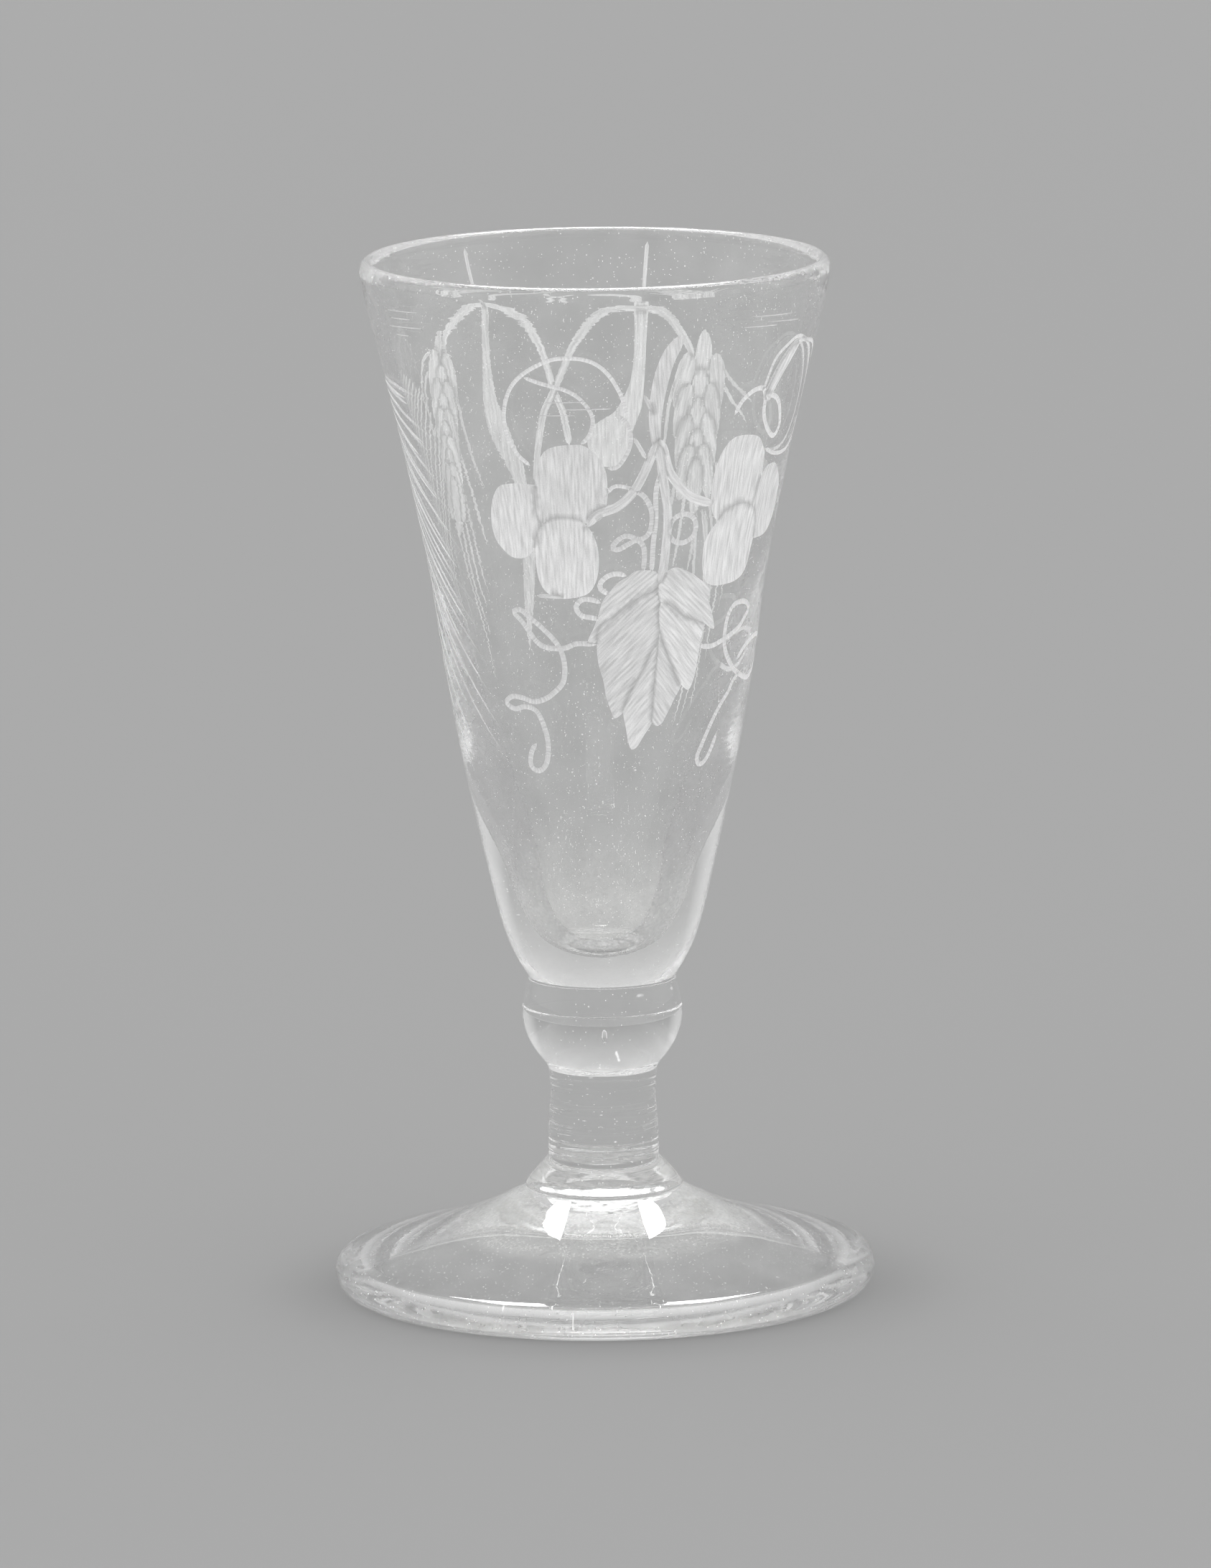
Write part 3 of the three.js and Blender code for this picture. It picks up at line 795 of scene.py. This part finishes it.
def carved(cuts, sheet):
    """How deep the cuts leave the wall at the sheet's points, and how near they are to the edge of a later
    cut, where painted shade goes.
    """
    depth = np.zeros(len(sheet))
    lap = np.full(len(sheet), LAP_SHADE_REACH)
    for cut in cuts:
        at = cut.near(sheet)
        if len(at):
            edge = np.minimum(np.abs(cut.gap(sheet[at])), LAP_SHADE_REACH)
            fresh = np.where(depth[at] > EDGE_REACH, edge, LAP_SHADE_REACH)
            lap[at] = np.where(cut.covers(sheet[at]), fresh, lap[at])
            depth[at] = cut.deepened(sheet[at], depth[at])
    return depth, lap / LAP_SHADE_REACH


def streak_marks(cuts, sheet, triangles, owned):
    """Where the corners of each triangle lie among the streaks of the cut that it is in."""
    marks = np.zeros((len(triangles), 3, 2))
    for number, cut in enumerate(cuts):
        rows = np.flatnonzero(owned == number)
        if len(rows):
            marks[rows] = cut.marks(sheet[triangles[rows].ravel()]).reshape(len(rows), 3, 2)
    return marks


def facing_normals(places, triangles):
    """The mean normal of the triangles round each place."""
    a, b, c = places[triangles[:, 0]], places[triangles[:, 1]], places[triangles[:, 2]]
    facing = np.cross(b - a, c - a)
    normals = np.zeros_like(places)
    for corner in range(3):
        np.add.at(normals, triangles[:, corner], facing)
    return normals / np.maximum(np.linalg.norm(normals, axis=1), TINY_SQUARE)[:, None]


def cut_wall(skin, wall, low_ring, top_ring, high):
    """Adds the engraved wall to a skin, between two rings."""
    cuts = all_cuts(wall)
    sheet, triangles, owned, (bottom, top, *seams) = cut_sheet(cuts, SHEET_LOW, high)
    depth, lap = carved(cuts, sheet)
    places, normals = wall.space(sheet, depth)
    index = {}
    for made, ring in ((bottom, low_ring), (top, top_ring)):
        for k, corner in enumerate(made):
            index[corner] = ring[k % COLUMNS]
    for corner in range(len(sheet)):
        if corner not in index:
            index[corner] = len(skin.places)
            skin.places.append(tuple(places[corner]))
    for left, right in zip(*seams):
        index[right] = index[left]
    marks = streak_marks(cuts, sheet, triangles, owned)
    cut_normals = facing_normals(places, triangles[owned >= 0])
    for k, triangle in enumerate(triangles):
        corners = [index[i] for i in triangle]
        if len(set(corners)) < 3:
            continue
        is_cut = owned[k] >= 0
        source = cut_normals if is_cut else normals
        shown = [(corner, tuple(source[i])) for corner, i in zip(corners, triangle)]
        # Painted shade near a later cut's edge, and a tone for each cut
        shade_and_tones = [(lap[i], owned[k] * TONE_STRIDE % 1) for i in triangle]
        skin.face(shown, WORKED if is_cut else CLEAR, [tuple(m) for m in marks[k]], shade_and_tones)


# Nodes of a material or of the world

class Shading:
    """A tree of shader nodes. What an input gets is a value of its own or another node's output."""

    def __init__(self, tree):
        self.nodes = tree.nodes
        self.links = tree.links

    def fill(self, node, inputs):
        for key, value in inputs.items():
            if isinstance(value, bpy.types.NodeSocket):
                self.links.new(value, node.inputs[key])
            else:
                node.inputs[key].default_value = value

    def add(self, kind, inputs=None, **settings):
        node = self.nodes.new("ShaderNode" + kind)
        for key, value in settings.items():
            setattr(node, key, value)
        self.fill(node, inputs or {})
        return node

    def maths(self, operation, first, second=0.0):
        return self.add("Math", {0: first, 1: second}, operation=operation).outputs[0]

    def times(self, first, second):
        return self.maths("MULTIPLY", first, second)

    def ranged(self, value, from_low, from_high, to_low, to_high):
        """A value moved from one range to another, and held within it."""
        ends = {"From Min": from_low, "From Max": from_high, "To Min": to_low, "To Max": to_high}
        return self.add("MapRange", {"Value": value, **ends}).outputs[0]

    def noise(self, place, scale, detail):
        return self.add("TexNoise", {"Vector": place, "Scale": scale, "Detail": detail}).outputs[0]

    def cells(self, place, scale):
        return self.add("TexVoronoi", {"Vector": place, "Scale": scale}, feature="F1").outputs

    def bump(self, height, depth, **inputs):
        return self.add("Bump", {"Height": height, "Distance": depth, **inputs}).outputs[0]

    def mixed(self, share, first, second):
        return self.add("MixShader", {0: share, 1: first, 2: second}).outputs[0]


class Finish(Shading):
    """A new material."""

    def __init__(self, name):
        self.material = bpy.data.materials.new(name)
        self.material.use_nodes = True
        super().__init__(self.material.node_tree)
        self.shader = self.nodes["Principled BSDF"]

    def set(self, inputs):
        self.fill(self.shader, inputs)

    def let_lamps_through(self, surface, share):
        """Lets lamplight, and light on its way to a matt surface, pass straight through the thin glass.

        The share is what a surface lets through when it is met squarely. Edges let less through."""
        path = self.add("LightPath").outputs
        passing = self.maths("MAXIMUM", path["Is Shadow Ray"], path["Is Diffuse Ray"])
        facing = self.add("LayerWeight").outputs["Facing"]
        passed = self.ranged(facing, GRAZING_START, 1.0, share, GRAZING_SHARE * share)
        clear = self.add("BsdfTransparent", {"Color": passed}).outputs[0]
        self.fill(self.nodes["Material Output"], {"Surface": self.mixed(passing, surface, clear)})


# Clear glass. Scales are counts per metre, and depths are in metres

GLASS_IOR = 1.52
GLASS_TINT = (0.986, 0.989, 0.986, 1)
CLEAR_PASS_SHARE = 0.95
GRAZING_START = 0.4
GRAZING_SHARE = 0.25

# Dust: the scale of its cells, the size of a speck in its cell, and the share of the cells that stays empty
COARSE_DUST = (620, 0.085, 0.7)
FINE_DUST = (2000, 0.15, 0.55)
COARSE_DUST_SHARE = 0.6
DUST_SHARE = 0.9
DUST_ROUGHNESS = 0.1

# Noises: scale and detail. The wander is how often the ripples change in one radian round the wall
CLOUDS = (240, 5.0)
WAVES = (110, 1.0)
RIPPLES = (1.0, 1.5)
FILM_GRAINS = (2600, 2.0)
RIPPLE_WANDER = 4.5

# Films of dirt: the height of the centre on the axis, how far the film reaches in full and at all, its share
HOLLOW_FILM = (0.004, 0.0165, 0.0187, 0.35)
CAVITY_FILM = (0.048, 0.002, 0.014, 0.34)
FILM_TINT = (0.9, 0.9, 0.88, 1)

# Ranges of noise, and for a film what they become
CLOUD_ENDS = (0.4, 0.75)
FILM_GRAIN_SHARES = (0.35, 0.65, 0.35, 1.0)
FILM_CLOUD_SHARES = (0.3, 0.7, 0.6, 1.0)

# Clear skins: the ripples' scale up the axis and out from it, the depth of the ripples and of the waves, and
# the share of light that the cloudiest places scatter
FOOT_GLASS = (60, 420, 0.000012, 0.000008, 0.05)
STEM_GLASS = (500, 60, 0.00001, 0.00002, 0.02)
BOWL_GLASS = (1200, 20, 0.000014, 0.00001, 0.04)


def clear_glass(name, ripple_up, ripple_out, ripple_depth, wave_depth, haze, film=None):
    """Old hand-blown glass: a faint grey tint, specks of dust and wear, slow waves and finer tool ripples."""
    look = Finish(name)
    place = look.add("TexCoord").outputs["Object"]
    coarse = look.times(dust(look, place, *COARSE_DUST), COARSE_DUST_SHARE)
    specks = look.maths("MAXIMUM", coarse, dust(look, place, *FINE_DUST))
    clouds = look.noise(place, *CLOUDS)
    cloudy = look.ranged(clouds, *CLOUD_ENDS, 0, haze)
    lost = look.maths("MAXIMUM", look.times(specks, DUST_SHARE), cloudy)
    slow = look.bump(look.noise(place, *WAVES), wave_depth)
    ripples = tool_ripples(look, place, ripple_up, ripple_out)
    look.set({
        "Base Color": GLASS_TINT,
        "IOR": GLASS_IOR,
        "Roughness": look.times(specks, DUST_ROUGHNESS),
        "Transmission Weight": look.maths("SUBTRACT", 1.0, lost),
        "Normal": look.bump(ripples, ripple_depth, Normal=slow),
    })
    surface = look.shader.outputs[0]
    if film:
        white = look.add("BsdfDiffuse", {"Color": FILM_TINT}).outputs[0]
        surface = look.mixed(dried_film(look, place, clouds, *film), surface, white)
    look.let_lamps_through(surface, CLEAR_PASS_SHARE)
    return look.material


def dried_film(look, place, clouds, height, full, reach, share):
    """How much of a matt film there is: speckled, and fading out from a point on the axis."""
    away = look.add("VectorMath", {0: place, 1: (0, 0, height)}, operation="DISTANCE").outputs["Value"]
    grains = look.ranged(look.noise(place, *FILM_GRAINS), *FILM_GRAIN_SHARES)
    uneven = look.times(grains, look.ranged(away, full, reach, share, 0.0))
    return look.times(uneven, look.ranged(clouds, *FILM_CLOUD_SHARES))


def dust(look, place, scale, size, empty):
    """Scattered specks. A share of the cells stays empty."""
    cells = look.cells(place, scale)
    near = look.ranged(cells["Distance"], size / 2, size, 1.0, 0.0)
    tone = look.add("SeparateColor", {0: cells["Color"]}).outputs[0]
    return look.times(near, look.maths("GREATER_THAN", tone, empty))


def tool_ripples(look, place, up, out):
    """Noise drawn out into rings round the axis, fine up the axis and out from it."""
    x, y, z = look.add("SeparateXYZ", {0: place}).outputs
    squares = [look.times(value, value) for value in (x, y)]
    radius = look.maths("SQRT", look.maths("ADD", *squares))
    turn = look.maths("ARCTAN2", x, y)
    sine = look.times(look.maths("SINE", turn), RIPPLE_WANDER)
    cosine = look.times(look.maths("COSINE", turn), RIPPLE_WANDER)
    rings = look.maths("ADD", look.times(radius, out), sine)
    join = look.add("CombineXYZ", {0: look.times(z, up), 1: rings, 2: cosine})
    return look.noise(join.outputs[0], *RIPPLES)


def fused_joint():
    """Where two gathers are fused there is no surface to see."""
    look = Finish("fused_joint")
    look.set({"Alpha": 0.0})
    return look.material


# Cut glass. The scales are counts per millimetre, for the streaks across them and along them

CUT_TRANSMISSION = 0.2
CUT_SPECULAR = 0.1
CUT_PASS_SHARE = 0.56
TRANSLUCENT_SHARE = 0.4
STREAK_SCALES = (3.6, 0.3, 1.0)
STREAKS = (1.0, 4.0)
STREAK_DEPTH = 0.00006
STREAK_STRENGTH = 0.7
GRAIN = (7.0, 2.0)
GRAIN_SHARE = 0.35

# Ranges of the patterns, and the tones or roughnesses that they become
STREAK_TONES = (0.48, 0.86, 0.66, 1.0)
STREAK_ROUGHNESS = (0.4, 0.9, 0.75, 0.45)
# Painted shade near a later cut's edge, from the edge out to its reach
LAP_SHADE_TONES = (0, 1, 0.68, 1.0)
CUT_TONES = (0, 1, 0.88, 1.0)


def cut_glass():
    """The matt floor of wheel cuts, with the fine streaks that the wheel left in it.

    It has painted shade close to the edge where a later cut crosses an earlier one, and each cut has a tone
    of its own."""
    look = Finish("cut_glass")
    marks = look.add("UVMap", uv_map="cut").outputs[0]
    stretch = look.add("Mapping", {"Vector": marks, "Scale": STREAK_SCALES}).outputs[0]
    grain = look.times(look.noise(marks, *GRAIN), GRAIN_SHARE)
    both = look.maths("ADD", look.noise(stretch, *STREAKS), grain)
    tone = look.ranged(both, *STREAK_TONES)
    shade_and_tones = look.add("SeparateXYZ", {0: look.add("UVMap", uv_map="lap").outputs[0]}).outputs
    # Darkens the streaks with painted shade near a later cut's edge, then by each cut's own tone
    for value, tones in ((shade_and_tones[0], LAP_SHADE_TONES), (shade_and_tones[1], CUT_TONES)):
        tone = look.times(tone, look.ranged(value, *tones))
    paint = look.add("CombineColor", {0: tone, 1: tone, 2: tone}).outputs[0]
    look.set({
        "Base Color": paint,
        "IOR": GLASS_IOR,
        "Transmission Weight": CUT_TRANSMISSION,
        "Specular IOR Level": CUT_SPECULAR,
        "Roughness": look.ranged(both, *STREAK_ROUGHNESS),
        "Normal": look.bump(both, STREAK_DEPTH, Strength=STREAK_STRENGTH),
    })
    glow = look.add("BsdfTranslucent", {"Color": paint}).outputs[0]
    look.let_lamps_through(look.mixed(TRANSLUCENT_SHARE, look.shader.outputs[0], glow), CUT_PASS_SHARE)
    return look.material


# Snapped glass

SNAPPED_TINT = (0.97, 0.98, 0.975, 1)
SNAPPED_PASS_SHARE = 0.88
FLAKE_SCALE = 900
FLAKE_DEPTH = 0.0003
FLAKE_ROUGHNESS = (0, 0.7, 0.1, 0.5)
FLAKE_TRANSMISSION = (0, 0.7, 0.95, 0.55)


def snapped_glass():
    """The rough, glittering break of the pontil scar."""
    look = Finish("snapped_glass")
    flakes = look.cells(look.add("TexCoord").outputs["Object"], FLAKE_SCALE)["Distance"]
    look.set({
        "Base Color": SNAPPED_TINT,
        "IOR": GLASS_IOR,
        "Roughness": look.ranged(flakes, *FLAKE_ROUGHNESS),
        "Transmission Weight": look.ranged(flakes, *FLAKE_TRANSMISSION),
        "Normal": look.bump(flakes, FLAKE_DEPTH),
    })
    look.let_lamps_through(look.shader.outputs[0], SNAPPED_PASS_SHARE)
    return look.material


# Pieces, from the table up

def swing_at(azimuths):
    """How far the scar's outline wanders from its radius, as a share."""
    angles = np.radians(azimuths - SCAR_WAVES_AZIMUTH)
    return sum(share * np.sin(count * angles + turn) for count, share, turn in SCAR_WAVES)


def make_foot(materials):
    skin = Skin()
    radius = widest("foot")
    height = highest("foot")
    hollow_top = highest("pontil_scar")
    edge_centre = (radius - FOOT_EDGE_ROUND, FOOT_EDGE_ROUND)
    edge_top = 2 * FOOT_EDGE_ROUND
    seat = COLLAR_RADIUS - COLLAR_OVERHANG
    hollow_edge = SCAR_RADIUS + SCAR_SEAT_MARGIN
    hollow_ends = (hollow_edge, edge_centre[0] - FOOT_REST_WIDTH)
    hollow = outline(FOOT_HOLLOW_SHARES, hollow_ends, (0, hollow_top), FOOT_EASE, FOOT_STEP)
    edge = arc(edge_centre, FOOT_EDGE_ROUND, FOOT_EDGE_ROUND, -math.pi / 2, math.pi / 2, EDGE_POINTS)
    top_ends = (seat + FOOT_SEAT_MARGIN, edge_centre[0])
    top = outline(FOOT_TOP_SHARES, top_ends, (edge_top, height), FOOT_EASE, FOOT_STEP)
    upper = relaxed(np.vstack([edge, top[::-1][1:]]), FOOT_EDGE_EASE, FOOT_EDGE_STEP)
    swing = swing_at(skin.azimuths)
    _, scar_edge = skin.turn([(0, hollow_top), (SCAR_RADIUS, hollow_top)], FUSED, swings={1: swing})
    skin.turn_on([
        ([(SCAR_RADIUS, hollow_top), (hollow_edge, hollow_top)], CLEAR),
        (hollow, WORKED),
        ([hollow[-1], edge[0]], CLEAR),
        (upper, CLEAR),
        ([upper[-1], (seat, height)], CLEAR),
        ([(seat, height), (0, height)], FUSED),
    ], scar_edge)
    places = np.array(skin.places)
    lean = np.clip(places[:, 0] / radius, 0, 1) ** 2
    thick = np.clip(places[:, 2] / edge_top, 0, 1)
    places[:, 2] += FOOT_WARP * lean * thick
    skin.places = places.tolist()
    skin.piece("foot_glass", "foot", materials)


def make_scar(materials):
    skin = Skin()
    low, seat = lowest("pontil_scar"), highest("pontil_scar")
    broken = [(SCAR_RADIUS * across, seat - (seat - low) * down) for across, down in SCAR_OUTLINE_SHARES]
    line = relaxed(flowing(broken, FINE_STEP), SCAR_EASE, SCAR_STEP)
    swing = swing_at(skin.azimuths)
    _, ring = skin.turn(line, CLEAR, swings={i: swing for i in range(len(line))})
    _, ring = skin.turn([line[-1], (SCAR_RADIUS, seat)], CLEAR, ring, {1: swing})
    skin.turn([(SCAR_RADIUS, seat), (0, seat)], FUSED, ring)
    places = np.array(skin.places)
    for place in places:
        if place[2] < seat - TINY:
            rough = noise.fractal(Vector(place) / SCAR_CRACK_SIZE, *SCAR_CRACK_ROUNDS)
            near_seat = min((seat - place[2]) / SCAR_CRACK_DEPTH, 1)
            place[2] += max(SCAR_CRACK_DEPTH * rough * near_seat, low - place[2])
    places[:, 2] = np.minimum(places[:, 2], seat)
    skin.places = places.tolist()
    skin.piece("pontil_scar_glass", "pontil_scar", materials)


def make_solid(name, node, line, materials, tear=False):
    """A solid gather: its side is clear, and both ends are fused to its neighbours."""
    skin = Skin()
    bottom, top = line[0], line[-1]
    _, ring = skin.turn([(0, bottom[1]), bottom], FUSED)
    skin.turn_on([(line, CLEAR), ([top, (0, top[1])], FUSED)], ring)
    if tear:
        add_tear(skin)
    skin.piece(name, node, materials)


def add_tear(skin):
    """A small tall bubble, whose skin faces into the air inside it."""
    first = len(skin.places)
    line = arc((0, TEAR_HEIGHT), TEAR_RADIUS, TEAR_HALF_LENGTH, math.pi / 2, -math.pi / 2, TEAR_POINTS)
    line[0, 0] = line[-1, 0] = 0
    skin.turn(line, CLEAR)
    for i in range(first, len(skin.places)):
        x, y, z = skin.places[i]
        skin.places[i] = (x + TEAR_OFFSET, y, z)


def make_collar(materials):
    radii = (widest("stem"), COLLAR_RADIUS)
    base, top = lowest("foot_collar"), highest("foot_collar")
    side = outline(COLLAR_SHARES, radii, (base, top), COLLAR_EASE, COLLAR_STEP)
    foot_edge = (COLLAR_RADIUS - COLLAR_OVERHANG, base)
    line = relaxed(np.vstack([foot_edge, side]), COLLAR_EDGE_EASE, COLLAR_STEP)
    make_solid("foot_collar_glass", "foot_collar", line, materials)


def make_stem(materials):
    radii = (STEM_WAIST_RADIUS, widest("stem"))
    line = outline(STEM_SHARES, radii, (lowest("stem"), highest("stem")), STEM_EASE, NECK_STEP)
    for height, stands, tall in TOOL_RINGS:
        line[:, 0] += stands * np.exp(-(((line[:, 1] - height) / tall) ** 2))
    make_solid("stem_glass", "stem", line, materials)


def make_knops(materials):
    base, seam, top = lowest("lower_knop"), highest("lower_knop"), highest("upper_knop")
    radius = widest("lower_knop")
    groove = (radius - 2 * SEAM_DEPTH, seam)
    radii = (mix(STEM_WAIST_RADIUS, widest("stem"), STEM_TOP_SHARE), radius)
    side = outline(LOWER_KNOP_SHARES, radii, (base, seam), LOWER_KNOP_EASE, COLLAR_STEP)
    line = relaxed(np.vstack([side, groove]), SEAM_EASE, NECK_STEP)
    make_solid("lower_knop_glass", "lower_knop", line, materials, tear=True)
    radii = (BOWL_BASE_RADIUS, radius - SEAM_DEPTH)
    side = outline(UPPER_KNOP_SHARES, radii, (seam, top), UPPER_KNOP_EASE, COLLAR_STEP)
    line = relaxed(np.vstack([groove, side]), SEAM_EASE, NECK_STEP)
    make_solid("upper_knop_glass", "upper_knop", line, materials)


def make_bowl(materials):
    skin = Skin()
    base = lowest("bowl")
    rim = widest("bowl")
    lip_base = highest("bowl") - LIP_ROUND_HEIGHT
    outside = outline(BOWL_OUTSIDE_SHARES, (BOWL_BASE_RADIUS, rim), (base, lip_base), BOWL_EASE, BOWL_STEP)
    lip = arc((rim - RIM_WALL / 2, lip_base), RIM_WALL / 2, LIP_ROUND_HEIGHT, 0, math.pi, LIP_POINTS)
    cavity_heights = (base + BOWL_BASE_THICKNESS, lip_base)
    cavity = outline(BOWL_CAVITY_SHARES, (0, rim - RIM_WALL), cavity_heights, CAVITY_EASE, BOWL_STEP)
    inner = np.vstack([lip, cavity[::-1][1:]])
    inner[-1, 0] = 0
    wall = Wall(outside)
    below = outside[outside[:, 1] < SHEET_LOW - BOWL_STEP / 2]
    below = np.vstack([below, (wall.radius(SHEET_LOW), SHEET_LOW)])
    _, ring = skin.turn([(0, base), outside[0]], FUSED)
    _, low_ring = skin.turn(below, CLEAR, ring)
    top_ring, _ = skin.turn(inner, CLEAR)
    cut_wall(skin, wall, low_ring, top_ring, lip_base)
    skin.piece("bowl_glass", "bowl", materials)


# Stage and light, with lengths in metres and powers in watts

FLOOR_TONE = 0.33
FLOOR_ROUGHNESS = 0.6
FLOOR_REACH = 4.0
FLOOR_HEIGHT = -0.00003

# The world's brightness overhead and at its left and right: a range of direction, and what it becomes
OVERHEAD_LIGHT = (0.0, 0.9, 0.36, 0.85)
SIDE_LIGHT = (0.72, 0.98, 0, 0.4)

# Soft boxes: the direction that each stands in, then its distance, width, height and power
LAMP_TARGET = (0, 0, 0.06)
GLINT = ((0, 0.41, 0.91), 1.6, 1.2, 0.7, 44.0)
FRONT_FILLS = [((side, -0.65, 0.25), 6.0, 6.5, 3.0, 210.0) for side in (-0.7, 0.7)]
BACK_FILLS = [((side, 0.65, 0.25), 6.0, 6.5, 3.0, 195.0) for side in (-0.7, 0.7)]


def make_floor():
    """A plain pale matt floor."""
    look = Finish("studio_floor")
    tone = (FLOOR_TONE, FLOOR_TONE, FLOOR_TONE, 1)
    look.set({"Base Color": tone, "Roughness": FLOOR_ROUGHNESS, "Specular IOR Level": 0.0})
    mesh = bpy.data.meshes.new("floor")
    corners = [(-1, -1), (1, -1), (1, 1), (-1, 1)]
    mesh.from_pydata([(x * FLOOR_REACH, y * FLOOR_REACH, FLOOR_HEIGHT) for x, y in corners], [], [range(4)])
    mesh.materials.append(look.material)
    floor = bpy.data.objects.new("floor", mesh)
    bpy.context.scene.collection.objects.link(floor)


def make_lamp(name, glints, direction, distance, width, height, power):
    """A soft box that faces the glass. It either only glints in gloss or only lights matt surfaces."""
    data = bpy.data.lights.new(name, "AREA")
    data.shape = "RECTANGLE"
    data.size, data.size_y = width, height
    data.energy = power
    lamp = bpy.data.objects.new(name, data)
    toward = Vector(direction).normalized()
    lamp.location = Vector(LAMP_TARGET) + toward * distance
    lamp.rotation_mode = "QUATERNION"
    lamp.rotation_quaternion = toward.to_track_quat("Z", "Y")
    lamp.visible_diffuse = not glints
    lamp.visible_glossy = glints
    lamp.visible_transmission = False
    bpy.context.scene.collection.objects.link(lamp)


def make_lamps():
    make_lamp("glint", True, *GLINT)
    for front, back in zip(FRONT_FILLS, BACK_FILLS):
        make_lamp("front_fill", False, *front)
        make_lamp("back_fill", False, *back)


def make_world():
    """A studio that is pale overhead and at both sides, and dim near the horizon before and behind."""
    world = bpy.data.worlds.new("studio")
    world.use_nodes = True
    sky = Shading(world.node_tree)
    x, _, z = sky.add("SeparateXYZ", {0: sky.add("TexCoord").outputs["Generated"]}).outputs
    level = sky.ranged(z, *OVERHEAD_LIGHT)
    aside = sky.ranged(sky.maths("ABSOLUTE", x), *SIDE_LIGHT)
    sky.fill(sky.nodes["Background"], {"Strength": sky.maths("ADD", level, aside), "Color": (1, 1, 1, 1)})
    world.cycles.sampling_method = "NONE"
    bpy.context.scene.world = world


# Camera, fitted to the photograph. Its lengths are in millimetres, but its sight is in metres. It looks at a
# point that is up the axis to the target, then to the side and down

CAMERA_DISTANCE = 1490.0
CAMERA_ELEVATION = math.radians(10.2)
CAMERA_ROLL = math.radians(0.577)
CAMERA_TARGET = 63.5
CAMERA_SIDE = 0.661
CAMERA_RISE = -1.115
CAMERA_LENS = 281.46
CAMERA_SENSOR = 36
CAMERA_SIGHT = 100


def make_camera():
    data = bpy.data.cameras.new("camera")
    data.lens = CAMERA_LENS
    data.sensor_width = CAMERA_SENSOR
    data.clip_end = CAMERA_SIGHT
    camera = bpy.data.objects.new("camera", data)
    ahead = Vector((0, math.cos(CAMERA_ELEVATION), -math.sin(CAMERA_ELEVATION)))
    side = Vector((1, 0, 0))
    rise = side.cross(ahead)
    right = side * math.cos(CAMERA_ROLL) - rise * math.sin(CAMERA_ROLL)
    above = side * math.sin(CAMERA_ROLL) + rise * math.cos(CAMERA_ROLL)
    target = Vector((0, 0, CAMERA_TARGET)) + side * CAMERA_SIDE + rise * CAMERA_RISE
    turn = Matrix((right, above, -ahead)).transposed()
    camera.rotation_mode = "QUATERNION"
    camera.rotation_quaternion = turn.to_quaternion()
    camera.location = (target - ahead * CAMERA_DISTANCE) * MM
    bpy.context.scene.collection.objects.link(camera)
    bpy.context.scene.camera = camera


# How often light may bounce in all and through glass, how often off gloss, and how often it may pass straight
GLASS_BOUNCES = 40
GLOSS_BOUNCES = 32
STRAIGHT_PASSES = 32


def set_light_paths():
    scene = bpy.context.scene
    scene.view_settings.view_transform = "Standard"
    scene.cycles.caustics_reflective = False
    scene.cycles.caustics_refractive = True
    scene.cycles.max_bounces = GLASS_BOUNCES
    scene.cycles.transmission_bounces = GLASS_BOUNCES
    scene.cycles.transparent_max_bounces = STRAIGHT_PASSES
    scene.cycles.glossy_bounces = GLOSS_BOUNCES


joint = fused_joint()
hollow_skin = clear_glass("hollow_glass", *FOOT_GLASS, HOLLOW_FILM)
foot_skin = [clear_glass("foot_glass", *FOOT_GLASS), joint, hollow_skin]
stem_skin = [clear_glass("stem_glass", *STEM_GLASS), joint]
bowl_skin = [clear_glass("bowl_glass", *BOWL_GLASS, CAVITY_FILM), joint, cut_glass()]
make_foot(foot_skin)
make_scar([snapped_glass(), joint])
make_collar(stem_skin)
make_stem(stem_skin)
make_knops(stem_skin)
make_bowl(bowl_skin)
make_floor()
make_world()
make_lamps()
make_camera()
set_light_paths()
